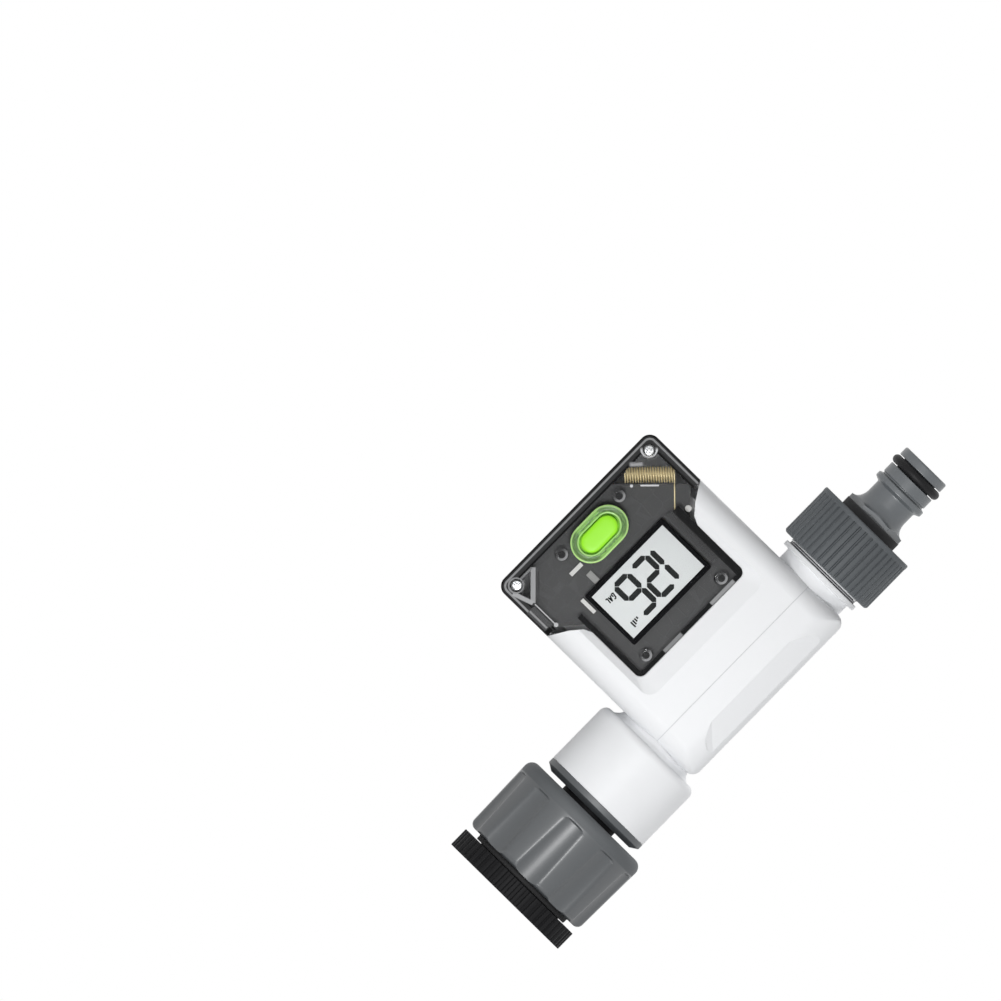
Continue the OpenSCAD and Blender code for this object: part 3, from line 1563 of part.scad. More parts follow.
// Push-on nipple with a hexagonal base, a catch ridge and an O-ring at its tip
module outlet_nipple() {
    tip_edge = 0.6;
    hex_corner_r = hex_af / 2 / cos(30);
    collar_end_x = outlet_nut_rear_x - collar_out_l;
    color(grey)
        difference() {
            union() {
                x_bar(nipple_flange_rear_x, nipple_front_x, nipple_flange_r);
                x_bar(collar_end_x, nipple_front_x, nipple_collar_r);
                intersection() {
                    translate([hex_end_x - waist_curve_l, 0, 0])
                        rotate([0, 90, 0])
                            cylinder(h = hex_l + waist_curve_l, r = hex_corner_r, $fn = 6);
                    turned([
                        [0, collar_end_x + 0.5], [hex_corner_r + 0.1, collar_end_x + 0.5],
                        for (a = [0 : 10 : 90])
                            [waist_r + (hex_corner_r + 0.1 - waist_r) * (1 - sin(a)),
                                hex_end_x - waist_curve_l * (1 - cos(a))],
                        [0, hex_end_x - waist_curve_l]
                    ]);
                }
                turned([
                    [0, hex_end_x], [waist_r, hex_end_x], [waist_r, ridge_foot_x],
                    [ridge_r, ridge_foot_x - ridge_slope_l],
                    [ridge_r, ridge_foot_x - ridge_slope_l - ridge_l], [nipple_r, barrel_x],
                    [nipple_r, groove_x], [groove_r, groove_x], [groove_r, tip_x], [tip_r, tip_x],
                    [tip_r, nipple_end_x + tip_edge], [tip_r - tip_edge, nipple_end_x], [0, nipple_end_x]
                ]);
            }
            x_bar(nipple_end_x - 1, nipple_front_x + 1, nipple_bore_r);
        }
}

module nipple_o_ring() {
    color(rubber_black)
        o_ring((groove_x + tip_x) / 2, o_ring_r - o_ring_section_r, o_ring_section_r);
}

module outlet_nut() {
    front_edge = 0.8;
    color(grey)
        difference() {
            union() {
                translate([outlet_nut_rear_x + outlet_band_l, 0, 0])
                    rotate([0, 90, 0])
                        linear_extrude(height = outlet_nut_l - outlet_band_l - front_edge)
                            ribbed(outlet_nut_r - 0.1, outlet_rib_depth, outlet_nut_ribs, 0.5);
                x_bar(outlet_nut_front_x - front_edge - 0.5, outlet_nut_front_x,
                    outlet_nut_r - outlet_rib_depth - 0.2);
                turned([
                    [0, outlet_nut_rear_x], [outlet_nut_r - 0.5, outlet_nut_rear_x],
                    [outlet_nut_r, outlet_nut_rear_x + 0.5],
                    [outlet_nut_r, outlet_nut_rear_x + outlet_band_l],
                    [0, outlet_nut_rear_x + outlet_band_l]
                ]);
            }
            x_bar(outlet_seat_x, outlet_nut_front_x + 1, outlet_nut_bore_r);
            x_bar(outlet_nut_rear_x - 1, outlet_nut_front_x, nipple_collar_r + run_fit);
        }
}

thread_adapter();
tap_washer();
filter_screen();
inlet_nut();
nut_washer();
inlet_tailpiece();
tail_o_ring();
tail_clip();
inlet_cap();
cap_o_ring();
flow_tube();
thread_ring();
flow_straightener();
front_bush();
rear_bearing_holder();
rear_bush();
rotor();
rotor_shaft();
rotor_magnet();
main_housing();
pipe_cover();
display_cover();
cover_screws();
circuit_board();
board_screws();
radio_module();
processor_chip();
board_components();
lcd_bezel();
lcd_panel();
lcd_contact_strips();
button_ring();
button_key();
tact_switch();
switch_plunger();
antenna_coil();
hall_sensor();
sensor_leads();
battery_door();
door_seal();
door_screws();
battery_1();
battery_2();
battery_springs();
battery_contacts();
battery_leads();
outlet_washer();
outlet_nipple();
nipple_o_ring();
outlet_nut();
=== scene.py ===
import json
import math

import bmesh
import bpy
from mathutils import Matrix, Vector

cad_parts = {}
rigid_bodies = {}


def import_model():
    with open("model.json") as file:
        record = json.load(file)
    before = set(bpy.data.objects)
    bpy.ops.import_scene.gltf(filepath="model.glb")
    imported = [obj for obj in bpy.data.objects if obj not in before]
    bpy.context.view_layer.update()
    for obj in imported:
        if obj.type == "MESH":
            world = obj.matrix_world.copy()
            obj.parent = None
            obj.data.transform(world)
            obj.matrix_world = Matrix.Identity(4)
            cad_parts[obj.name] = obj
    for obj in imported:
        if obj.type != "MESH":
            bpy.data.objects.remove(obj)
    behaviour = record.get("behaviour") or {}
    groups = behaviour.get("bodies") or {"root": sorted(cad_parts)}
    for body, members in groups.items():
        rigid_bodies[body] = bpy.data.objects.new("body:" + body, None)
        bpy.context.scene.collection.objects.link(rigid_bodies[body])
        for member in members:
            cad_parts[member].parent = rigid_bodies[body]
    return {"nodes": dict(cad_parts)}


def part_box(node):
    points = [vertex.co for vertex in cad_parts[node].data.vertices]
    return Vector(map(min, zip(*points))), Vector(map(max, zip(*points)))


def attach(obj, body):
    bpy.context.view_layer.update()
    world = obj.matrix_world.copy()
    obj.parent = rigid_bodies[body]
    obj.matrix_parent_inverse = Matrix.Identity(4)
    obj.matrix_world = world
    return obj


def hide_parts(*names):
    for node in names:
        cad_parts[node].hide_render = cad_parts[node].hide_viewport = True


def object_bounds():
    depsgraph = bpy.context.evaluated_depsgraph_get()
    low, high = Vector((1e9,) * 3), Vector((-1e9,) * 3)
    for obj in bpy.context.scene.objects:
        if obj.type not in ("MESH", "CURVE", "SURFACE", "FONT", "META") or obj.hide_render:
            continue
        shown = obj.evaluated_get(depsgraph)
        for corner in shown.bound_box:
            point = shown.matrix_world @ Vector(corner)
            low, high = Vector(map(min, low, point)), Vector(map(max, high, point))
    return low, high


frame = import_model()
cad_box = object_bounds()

# Flow tube: the inlet barrel, the rotor chamber and the outlet spigot, one moulding in white ABS.
# It is turned about the flow axis. The case closes on its two collars, and the hose thread is
# moulded on its outlet end, behind a ring that the nut comes up to.
MM = 0.001


def sums(operation):
    """The two methods of one operator, for a signal that stands before the other value or after."""
    def before(self, other):
        return self.finish.maths(operation, self, other)

    def after(self, other):
        return self.finish.maths(operation, other, self)
    return before, after


class Signal:
    """A number carried by a material's nodes, on which sums can be written."""

    def __init__(self, finish, socket):
        self.finish = finish
        self.socket = socket

    __add__, __radd__ = sums("ADD")
    __sub__, __rsub__ = sums("SUBTRACT")
    __mul__, __rmul__ = sums("MULTIPLY")
    __truediv__, __rtruediv__ = sums("DIVIDE")


class Finish:
    """A material, its main shader and the nodes behind that shader's sockets."""

    def __init__(self, name):
        self.material = bpy.data.materials.new(name)
        self.material.use_nodes = True
        self.tree = self.material.node_tree
        self.shader = self.tree.nodes["Principled BSDF"]
        self.spot = self.add("VectorMath", {"operation": "SCALE"},
                             {0: self.add("TexCoord", out="Object"), "Scale": 1 / MM})

    def add(self, kind, settings=None, sockets=None, out=0):
        node = self.tree.nodes.new("ShaderNode" + kind)
        for name, value in (settings or {}).items():
            setattr(node, name, value)
        for key, value in (sockets or {}).items():
            self.feed(node.inputs[key], value)
        return Signal(self, node.outputs[out])

    def feed(self, socket, value):
        if isinstance(value, Signal):
            self.tree.links.new(value.socket, socket)
        else:
            socket.default_value = value

    def surface(self, sockets):
        for key, value in sockets.items():
            self.feed(self.shader.inputs[key], value)
        return self

    def maths(self, operation, a, b=0.0):
        return self.add("Math", {"operation": operation}, {0: a, 1: b})

    def span(self, a, b):
        """How far a place is from a point, from its distances along two axes."""
        return self.maths("SQRT", a * a + b * b)

    def axis(self, index):
        """Millimetres along one axis of the model's frame."""
        return self.add("SeparateXYZ", sockets={0: self.spot}, out=index)

    def grain(self, scale, detail=2.0):
        """Noise from 0 to 1, with about this many lumps to the millimetre."""
        return self.add("TexNoise", sockets={"Vector": self.spot, "Scale": scale, "Detail": detail})

    def rise(self, value, start, end):
        """0 up to the start and 1 from the end on, with a smooth way between them."""
        return self.add("MapRange", {"interpolation_type": "SMOOTHSTEP"},
                        {"Value": value, "From Min": start, "From Max": end})

    def band(self, value, low, high, soft=0.1):
        """1 between two values and 0 outside them, with soft ends."""
        return (self.rise(value, low - soft / 2, low + soft / 2)
                * self.rise(value, high + soft / 2, high - soft / 2))

    def tint(self, mask, below, above):
        """One colour where the mask is 0, another where it is 1. The Mix node takes colours at its
        sockets 6 and 7, and gives the result at output 2."""
        below, above = [c if isinstance(c, Signal) else (*c, 1) for c in (below, above)]
        return self.add("Mix", {"data_type": "RGBA"}, {0: mask, 6: below, 7: above}, out=2)

    def relief(self, height, depth, normal):
        return self.add("Bump", sockets={"Height": height, "Distance": depth * MM,
                                         "Normal": normal})

    def soft_edges(self, radius):
        return self.add("Bevel", {"samples": 6}, {"Radius": radius * MM})


MOTTLE_SCALE, SPARK_SCALE, SPARK_SWING = 0.12, 5.0, 0.08


def moulding(name, colour, roughness, texture=0.004, edge=0.25, shade=0.95):
    """Moulded plastic: a faint mottling, a spark texture and slightly softened edges."""
    finish = Finish(name)
    mottle, spark = finish.grain(MOTTLE_SCALE), finish.grain(SPARK_SCALE)
    return finish.surface({
        "Base Color": finish.tint(mottle, [c * shade for c in colour], colour),
        "Roughness": roughness + (spark - 0.5) * SPARK_SWING,
        "Normal": finish.relief(spark, texture, finish.soft_edges(edge)),
    })


ARC_GUARD = 0.15


def softened(path, steps=5):
    """Points of a path of (coordinates..., rounding), with arcs in place of its rounded corners.
    A guard point before and after each arc keeps the faces beside it flat."""
    points = []
    for i, (*corner, rounding) in enumerate(path):
        corner = Vector(corner)
        if not rounding:
            points.append(corner)
            continue
        before, after = [(Vector(path[k % len(path)][:-1]) - corner).normalized()
                         for k in (i - 1, i + 1)]
        turn = math.pi - before.angle(after)
        reach = rounding * math.tan(turn / 2)
        handle = reach - 4 / 3 * math.tan(turn / 4) * rounding
        hooks = [corner + before * reach, corner + before * handle, corner + after * handle,
                 corner + after * reach]
        points.append(hooks[0] + before * ARC_GUARD * rounding)
        for k in range(steps + 1):
            t = k / steps
            weights = ((1 - t) ** 3, 3 * t * (1 - t) ** 2, 3 * t * t * (1 - t), t ** 3)
            points.append(sum((h * w for h, w in zip(hooks, weights)), Vector([0] * len(corner))))
        points.append(hooks[3] + after * ARC_GUARD * rounding)
    return points


def run(start, end, step):
    """Sharp points from start to end, no more than a step apart."""
    count = math.ceil(math.dist(start, end) / step)
    return [(*Vector(start).lerp(Vector(end), i / count), 0) for i in range(count + 1)]


def placed(name, data):
    """A new object in the scene, at the origin."""
    thing = bpy.data.objects.new(name, data)
    bpy.context.scene.collection.objects.link(thing)
    return thing


MERGE_WITHIN = 0.0001


def finished(name, mesh, sharp=30):
    """A mesh made whole: merged, facing outwards and smooth, with its hard edges kept sharp."""
    bmesh.ops.remove_doubles(mesh, verts=mesh.verts, dist=MERGE_WITHIN * MM)
    bmesh.ops.recalc_face_normals(mesh, faces=mesh.faces)
    for face in mesh.faces:
        face.smooth = True
    for edge in mesh.edges:
        edge.smooth = edge.calc_face_angle(0) < math.radians(sharp)
    data = bpy.data.meshes.new(name)
    mesh.to_mesh(data)
    mesh.free()
    return placed(name, data)


SINGLE_POINT = 0.001


def skinned(name, rings, closed, sharp=30):
    """Rings of points with faces between them. The last joins the first, or both ends are capped
    where they aren't a single point."""
    mesh = bmesh.new()
    loops = [[mesh.verts.new(Vector(point) * MM) for point in ring] for ring in rings]
    for low, high in zip(loops, loops[1:] + loops[:1] if closed else loops[1:]):
        for i in range(len(low)):
            j = (i + 1) % len(low)
            mesh.faces.new((low[i], low[j], high[j], high[i]))
    if not closed:
        for loop in (loops[0], loops[-1]):
            if (loop[0].co - loop[1].co).length > SINGLE_POINT * MM:
                mesh.faces.new(loop)
    return finished(name, mesh, sharp)


def turned(name, outline, sides=96, shape=None, closed=True):
    """An (x, r) outline turned about the flow axis, from the front over the top.
    The shape may move each point, given as x, r and its share of a turn."""
    rings = []
    for x, r in outline:
        ring = []
        for i in range(sides):
            px, pr, share = shape(x, r, i / sides) if shape else (x, r, i / sides)
            angle = 2 * math.pi * share
            ring.append((px, -pr * math.cos(angle), pr * math.sin(angle)))
        rings.append(ring)
    return skinned(name, rings, closed)


CREST_WITHIN = 0.02


def thread(start, end, pitch, depth, radius):
    """A right-hand thread cut into the radius given, or out of it where the depth is negative."""
    def shape(x, r, share):
        if abs(r - radius) > CREST_WITHIN or not end < x < start:
            return x, r, share
        along = (x / pitch + share) % 1
        wave = 0.5 - 0.5 * math.cos(2 * math.pi * along)
        fade = min(1, (start - x) / pitch * 2, (x - end) / pitch * 2)
        return x, r - depth * wave * fade, share
    return shape


def dress(piece, finish, body, slot, *stands_for):
    """Gives a piece its finish and body, and hides the CAD parts that it stands for. The slot is
    not used.
    """
    piece.data.materials.clear()
    piece.data.materials.append(finish.material)
    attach(piece, body)
    if stands_for:
        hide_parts(*stands_for)


def coat(finish, *names):
    """Gives a finish to CAD parts that keep their own mesh."""
    for name in names:
        frame["nodes"][name].material_slots[0].material = finish.material


TUBE_END = -143.0
THREAD_START, THREAD_STOP = -134.2, TUBE_END + 0.3
HOSE_R, HOSE_PITCH, HOSE_DEPTH = 13.22, 1.814, 0.8
white_abs = (0.83, 0.84, 0.855)
white = moulding("white_abs", white_abs, 0.48, texture=0.0015)
white.surface({"Specular IOR Level": 0.3})
tube = turned("flow_tube_body", softened([
    (-39.3, 18.4, 0.3), (-61.3, 18.4, 2.4), (-61.3, 14.9, 0.5), (-62.6, 13.4, 1.5),
    (-63.7, 12.9, 0), (-65.65, 12.9, 0), (-65.65, 14.1, 0.2), (-67.65, 14.1, 0.2),
    (-67.65, 11.2, 0), (-123.75, 11.2, 0), (-123.75, 14.1, 0.2), (-125.75, 14.1, 0.2),
    (-125.75, 12.1, 0), (-131.6, 12.1, 0.3), (-131.6, 14.1, 0.3), (-133.2, 14.1, 0.3),
    (-133.2, 12.1, 0), (THREAD_START, 12.1, 0),
    *run((THREAD_START, HOSE_R), (THREAD_STOP, HOSE_R), 0.15),
    (TUBE_END, 12.9, 0), (TUBE_END, 7.8, 0.3), (-91, 7.8, 0), (-91, 9, 0), (-56.5, 9, 0),
    (-56.5, 15.5, 0), (-39.3, 15.5, 0.3),
]), 144, thread(THREAD_START, THREAD_STOP, HOSE_PITCH, HOSE_DEPTH, HOSE_R))
dress(tube, white, "housing", "white_plastic", "flow_tube")

# Seals: O-rings, washers and the ring at the foot of the hose thread, in black nitrile rubber.
# They are moulded, with a dull skin and a faint bloom. A pale line is painted on the lip of the
# ring as a highlight.
rubber_black = (0.011, 0.011, 0.012)
rubber = moulding("nitrile_rubber", rubber_black, 0.5, texture=0.01, shade=0.7)
rubber.surface({"Specular IOR Level": 0.2})
coat(rubber, "tail_o_ring", "cap_o_ring", "nut_washer", "tap_washer",
     "outlet_washer", "nipple_o_ring", "door_seal")
ring_rubber = moulding("ring_rubber", rubber_black, 0.5, texture=0.01)
# The pale band on the ring's lip is a painted highlight.
painted_lip_highlight = ring_rubber.band(ring_rubber.axis(0), -133.85, -133.5, 0.12)
ring_rubber.surface({"Specular IOR Level": 0.2,
                     "Base Color": ring_rubber.tint(painted_lip_highlight, rubber_black, (0.5, 0.5, 0.52))})
coat(ring_rubber, "thread_ring")

# Turbine: a white acetal rotor with screw-shaped blades on a stainless shaft, and a ferrite
# magnet pressed round its hub. Two bushes carry it, one in the straightener before it and one in
# the holder behind it, both moulded in grey ABS.
grey_abs = (0.062, 0.068, 0.073)
grey = moulding("grey_abs", grey_abs, 0.4, texture=0.003)
grey.surface({"Specular IOR Level": 0.85})
coat(grey, "flow_straightener", "rear_bearing_holder")
acetal = moulding("natural_acetal", (0.8, 0.8, 0.77), 0.38, texture=0.003, edge=0.1)
acetal.surface({"Subsurface Weight": 0.15, "Subsurface Radius": (0.002, 0.002, 0.0016)})
coat(acetal, "rotor")


def metal(name, colour, roughness, stretch, axis, edge=0.08):
    """Bare metal with fine drawing lines along one axis."""
    finish = Finish(name)
    squeeze = [1.0, 1.0, 1.0]
    squeeze[axis] = 1 / stretch
    drawn = finish.add("VectorMath", {"operation": "MULTIPLY"}, {0: finish.spot, 1: squeeze})
    lines = finish.add("TexNoise", sockets={"Vector": drawn, "Scale": 6.0, "Detail": 3.0})
    return finish.surface({
        "Metallic": 1.0,
        "Base Color": finish.tint(lines, [c * 0.88 for c in colour], colour),
        "Roughness": roughness + (lines - 0.5) * 0.15,
        "Normal": finish.relief(lines, 0.002, finish.soft_edges(edge)),
    })


steel = metal("stainless_steel", (0.6, 0.61, 0.62), 0.26, 12, 0)
coat(steel, "rotor_shaft", "front_bush", "rear_bush", "tail_clip")
ferrite = moulding("bonded_ferrite", (0.06, 0.06, 0.066), 0.6, texture=0.02, edge=0.1, shade=0.6)
coat(ferrite, "rotor_magnet")

# Tailpiece and cap: the short neck that the swivel nut turns on, and the grey ring that closes
# the barrel round it. Both are ABS. The neck is coloured black as painted shade for the narrow
# gap it shows through, and the ring is in the nut's grey, but duller.
black = moulding("black_abs", (0.014, 0.014, 0.015), 0.55, texture=0.006, edge=0.15, shade=0.8)
black.surface({"Specular IOR Level": 0.08})
# The tailpiece takes the black finish as painted shade.
coat(black, "inlet_tailpiece")
cap = turned("inlet_cap_body", softened([
    (-36.0, 10.18, 0.3), (-36.0, 16.0, 0.35), (-37.5, 18.4, 0.35), (-39.28, 18.4, 0.15),
    (-39.28, 15.42, 0), (-45.4, 15.42, 0.15), (-45.4, 13.62, 0.2), (-47.7, 13.62, 0.2),
    (-47.7, 15.42, 0.15), (-53.8, 15.42, 0.4), (-53.8, 12.52, 0.3), (-41.3, 12.52, 0),
    (-41.3, 10.18, 0.3),
]), 144)
satin_grey = moulding("satin_grey_abs", grey_abs, 0.5, texture=0.003)
satin_grey.surface({"Specular IOR Level": 0.75})
dress(cap, satin_grey, "housing", "grey_plastic", "inlet_cap")

# Swivel nut: grey ABS with ten concave grip flutes that are open at the tap side, a smooth band
# at the other end, and the tap's thread inside. It turns freely on the tailpiece.
NUT_FACE, NUT_BACK = (-8.1, 22.2), (-34.7, 22.8)
NUT_BORE, TAP_PITCH, TAP_DEPTH = 15.9, 2.309, 0.85
NUT_FLUTES, FLUTE_R, FLUTE_SHARE = 10, 8.0, 0.3
FLUTE_AXIS_R, FLUTE_TAPER = 28.35, 1.2
FLUTE_END, FLUTE_RUN_OUT = -30.1, 0.45
INSIDE_BELOW, FLUTES_ABOVE = 17, 18.5
LEAST_HALF_ANGLE = 3
nut_thread = thread(-7.0, -27.6, TAP_PITCH, -TAP_DEPTH, NUT_BORE)


def fluted(x, r, share):
    """Cuts the thread in the bore and sinks the flutes into the outside. A flute is part of a
    cylinder, whose axis moves a little outwards on its way to the smooth band."""
    if r < INSIDE_BELOW:
        return nut_thread(x, r, share)
    if r < FLUTES_ABOVE or x < NUT_BACK[0] + 0.1:
        return x, r, share
    sector = share * NUT_FLUTES
    flute = round(sector)
    off = sector - flute
    way = (min(x, NUT_FACE[0]) - NUT_FACE[0]) / (FLUTE_END - NUT_FACE[0])
    centre = FLUTE_AXIS_R + FLUTE_TAPER * min(way, 1)
    cosine = (centre ** 2 + r ** 2 - FLUTE_R ** 2) / (2 * centre * r)
    half = max(math.degrees(math.acos(min(1, cosine))), LEAST_HALF_ANGLE)
    pitch = 360 / NUT_FLUTES
    if abs(off) > FLUTE_SHARE:
        spare = (abs(off) - FLUTE_SHARE) / (0.5 - FLUTE_SHARE)
        return x, r, (flute * pitch + math.copysign(half + spare * (pitch / 2 - half), off)) / 360
    aside = off / FLUTE_SHARE
    angle = math.radians(aside * half)
    across = centre * math.sin(angle)
    floor_r = centre * math.cos(angle) - math.sqrt(max(0, FLUTE_R ** 2 - across ** 2))
    end = FLUTE_END + abs(aside) ** 5
    sunk = min(1, max(0, (x - end) / FLUTE_RUN_OUT))
    sunk = sunk * sunk * (3 - 2 * sunk)
    return x, r - max(0, r - floor_r) * sunk, (flute * pitch + aside * half) / 360


nut = turned("swivel_nut_body", softened([
    (-6.5, NUT_BORE, 0.4), (-6.5, 17.8, 0.4), (-8.1, 17.8, 0.3),
    *run((-8.1, 18.6), (-8.1, 19.6), 0.5), (*NUT_FACE, 2.0),
    *run((-10.7, 22.26), (-28.6, 22.65), 0.55), *run((-28.75, 22.66), (-31.2, 22.72), 0.15),
    (*NUT_BACK, 2.8), (-34.7, 10.18, 0.5), (-27.8, 10.18, 0.2), (-27.8, NUT_BORE, 0),
    *run((-27.6, NUT_BORE), (-7.0, NUT_BORE), 0.17),
], 7), 240, fluted)
NUT_ROUGHNESS = 0.36


def banded_grey(name, colour, shade_low, shade_high, dull_low, dull_high):
    """Grey ABS with a stretch painted near-black as shade, and a duller one, each between two
    places on the flow axis.
    """
    finish = moulding(name, colour, NUT_ROUGHNESS, texture=0.003)
    # The near-black stretch is painted shade, on a narrow collar that a larger ring beside it
    # shadows.
    stretch = finish.band(finish.axis(0), shade_low, shade_high, 0.1)
    dull = finish.band(finish.axis(0), dull_low, dull_high, 0.5)
    return finish.surface({
        "Specular IOR Level": 0.85,
        "Roughness": NUT_ROUGHNESS + stretch * 0.5 + dull * 0.34,
        "Base Color": finish.tint(stretch, colour, (0.008, 0.008, 0.009)),
    })


# The nut's collar next to the adapter's flange is painted near-black as shade.
dress(nut, banded_grey("grey_abs_nut", grey_abs, -8.0, -6, -34.9, -30.4),
      "swivel_nut", "grey_plastic", "inlet_nut")

# Tap adapter: black ABS, screwed into the swivel nut, with straight grip ribs round its flange
# and the smaller tap thread inside. The ribs are one shape repeated round the axis.


class Recipe:
    """A Geometry Nodes tree with named inputs, run on a piece and then turned into plain mesh."""

    def __init__(self, name, inputs):
        self.tree = bpy.data.node_groups.new(name, "GeometryNodeTree")
        sockets = self.tree.interface
        sockets.new_socket("Piece", in_out="INPUT", socket_type="NodeSocketGeometry")
        self.ids = {}
        for key, kind in inputs.items():
            socket = sockets.new_socket(key, in_out="INPUT", socket_type="NodeSocket" + kind)
            self.ids[key] = socket.identifier
        sockets.new_socket("Result", in_out="OUTPUT", socket_type="NodeSocketGeometry")
        self.given = self.tree.nodes.new("NodeGroupInput").outputs

    def add(self, kind, settings=None, sockets=None, out=0):
        node = self.tree.nodes.new(kind)
        for name, value in (settings or {}).items():
            setattr(node, name, value)
        for key, value in (sockets or {}).items():
            if isinstance(value, bpy.types.NodeSocket):
                self.tree.links.new(value, node.inputs[key])
            else:
                node.inputs[key].default_value = value
        return node.outputs[out]

    def maths(self, operation, a, b):
        return self.add("ShaderNodeMath", {"operation": operation}, {0: a, 1: b})

    def end(self, geometry):
        real = self.add("GeometryNodeRealizeInstances", sockets={0: geometry})
        done = self.add("GeometryNodeSetMaterial",
                        sockets={0: real, "Material": self.given["Finish"]})
        self.tree.links.new(done, self.tree.nodes.new("NodeGroupOutput").inputs[0])

    def make(self, host, values):
        name = host.name
        modifier = host.modifiers.new("recipe", "NODES")
        modifier.node_group = self.tree
        for key, value in values.items():
            modifier[self.ids[key]] = value
        host.update_tag()
        bpy.context.view_layer.update()
        graph = bpy.context.evaluated_depsgraph_get()
        mesh = bpy.data.meshes.new_from_object(host.evaluated_get(graph))
        bpy.data.objects.remove(host)
        return placed(name, mesh)


round_the_axis = Recipe("repeat_round_flow_axis",
                        {"Pattern": "Object", "Count": "Int", "Finish": "Material"})
given = round_the_axis.given
spots = round_the_axis.add("GeometryNodePoints", sockets={"Count": given["Count"]})
index = round_the_axis.add("GeometryNodeInputIndex")
step = round_the_axis.maths("DIVIDE", 2 * math.pi, given["Count"])
turn = round_the_axis.add("ShaderNodeCombineXYZ",
                          sockets={"X": round_the_axis.maths("MULTIPLY", index, step)})
one = round_the_axis.add("GeometryNodeObjectInfo", sockets={"Object": given["Pattern"]},
                         out="Geometry")
copies = round_the_axis.add("GeometryNodeInstanceOnPoints",
                            sockets={"Points": spots, "Instance": one, "Rotation": turn})
both = round_the_axis.add("GeometryNodeJoinGeometry", sockets={0: given["Piece"]})
round_the_axis.tree.links.new(copies, both.node.inputs[0])
round_the_axis.end(both)


def rib(side_view, foot, crest, edge):
    """A straight grip rib along the front of a ring, from its side view of (x, r) points and its
    width at the lowest and the highest of them, with rounded edges."""
    low, high = min(r for _, r in side_view), max(r for _, r in side_view)
    widths = [foot + (crest - foot) * (r - low) / (high - low) for _, r in side_view]
    mesh = bmesh.new()
    flanks = [[mesh.verts.new(Vector((x, -r, way * width / 2)) * MM)
               for (x, r), width in zip(side_view, widths)] for way in (-1, 1)]
    for i in range(len(side_view)):
        j = (i + 1) % len(side_view)
        mesh.faces.new((flanks[0][i], flanks[0][j], flanks[1][j], flanks[1][i]))
    for flank in flanks:
        mesh.faces.new(flank)
    crests = [e for e in mesh.edges if max(-v.co.y for v in e.verts) > (low + 0.1) * MM]
    bmesh.ops.bevel(mesh, geom=crests, offset=edge * MM, segments=2, profile=0.5, affect="EDGES")
    return finished("rib", mesh, 50)


def ribbed(core, pattern, count, finish):
    """A ring with the pattern repeated round it, made one mesh. The pattern itself goes."""
    piece = round_the_axis.make(core, {"Pattern": pattern, "Count": count,
                                       "Finish": finish.material})
    bpy.data.objects.remove(pattern)
    return piece


ADAPTER_R, ADAPTER_BORE, ADAPTER_RIBS = 15.82, 12.06, 52
outer_thread = thread(-6.5, -20.6, TAP_PITCH, TAP_DEPTH, ADAPTER_R)
inner_thread = thread(-0.3, -9.0, HOSE_PITCH, -1.0, ADAPTER_BORE)
adapter_core = turned("tap_adapter_body", softened([
    (0, 12.6, 0), (0, 21.2, 0.25), (-6.3, 21.2, 0.25), (-6.3, ADAPTER_R, 0),
    *run((-6.5, ADAPTER_R), (-20.6, ADAPTER_R), 0.17), (-21.1, 15.2, 0), (-21.1, 9, 0.3),
    (-12.8, 9, 0), (-12.8, 13, 0), (-9.0, 13, 0),
    *run((-9.0, ADAPTER_BORE), (-0.3, ADAPTER_BORE), 0.15),
]), 144, lambda x, r, share: (outer_thread if r > 14 else inner_thread)(x, r, share))
adapter_rib = rib([(-0.02, 20.9), (-0.02, 22), (-6.28, 22), (-6.28, 20.9)], 1.75, 1.2, 0.14)
dress(ribbed(adapter_core, adapter_rib, ADAPTER_RIBS, black),
      black, "tap_adapter", "black_plastic", "thread_adapter")

# Inlet filter: woven stainless wire held in a rolled rim, under the tap washer. Each wire passes
# over and under the ones that cross it.
along_a_path = Recipe("wire_along_a_path",
                      {"Diameter": "Float", "Sides": "Int", "Finish": "Material"})
given = along_a_path.given
half = along_a_path.maths("MULTIPLY", given["Diameter"], 0.5)
section = along_a_path.add("GeometryNodeCurvePrimitiveCircle",
                           sockets={"Resolution": given["Sides"], "Radius": half})
skin = along_a_path.add("GeometryNodeCurveToMesh", sockets={
    "Curve": given["Piece"], "Profile Curve": section, "Fill Caps": True})
along_a_path.end(along_a_path.add("GeometryNodeSetShadeSmooth", sockets={0: skin}))


def wires(name, paths, diameter, finish, sides=10):
    """Round wires, each along its own path of points, made one mesh."""
    data = bpy.data.curves.new(name, "CURVE")
    data.dimensions = "3D"
    for path in paths:
        spline = data.splines.new("POLY")
        spline.points.add(len(path) - 1)
        for point, place in zip(spline.points, path):
            point.co = (*Vector(place) * MM, 1)
    return along_a_path.make(placed(name, data), {"Diameter": diameter * MM, "Sides": sides,
                                                  "Finish": finish.material})


def joined(piece, other):
    """One mesh from two, under the first one's name."""
    mesh = bmesh.new()
    for part in (piece, other):
        mesh.from_mesh(part.data)
    mesh.to_mesh(piece.data)
    mesh.free()
    bpy.data.objects.remove(other)
    return piece


WEAVE_X, WEAVE_R, WEAVE_PITCH = -12.1, 8.9, 0.9
WEAVE_STEPS, WEAVE_LIFT, WEAVE_WIRE = 24, 0.13, 0.24
weave = []
for k in range(-9, 10):
    off = k * WEAVE_PITCH
    reach = math.sqrt(max(0, WEAVE_R ** 2 - off ** 2))
    for way in (0, 1):
        path = []
        for i in range(-WEAVE_STEPS, WEAVE_STEPS + 1):
            u = i / WEAVE_STEPS * reach
            lift = WEAVE_LIFT * math.cos(math.pi * (u / WEAVE_PITCH + k + way))
            path.append((WEAVE_X + lift, off, u) if way else (WEAVE_X + lift, u, off))
        weave.append(path)
filter_wires = wires("inlet_filter", weave, WEAVE_WIRE, steel, 6)
filter_rim = turned("filter_rim", softened([
    (-11.62, 12.65, 0.3), (-12.58, 12.65, 0.3), (-12.58, 8.6, 0.25), (-11.62, 8.6, 0.25)]))
dress(joined(filter_wires, filter_rim), steel, "tap_seal", "steel", "filter_screen")

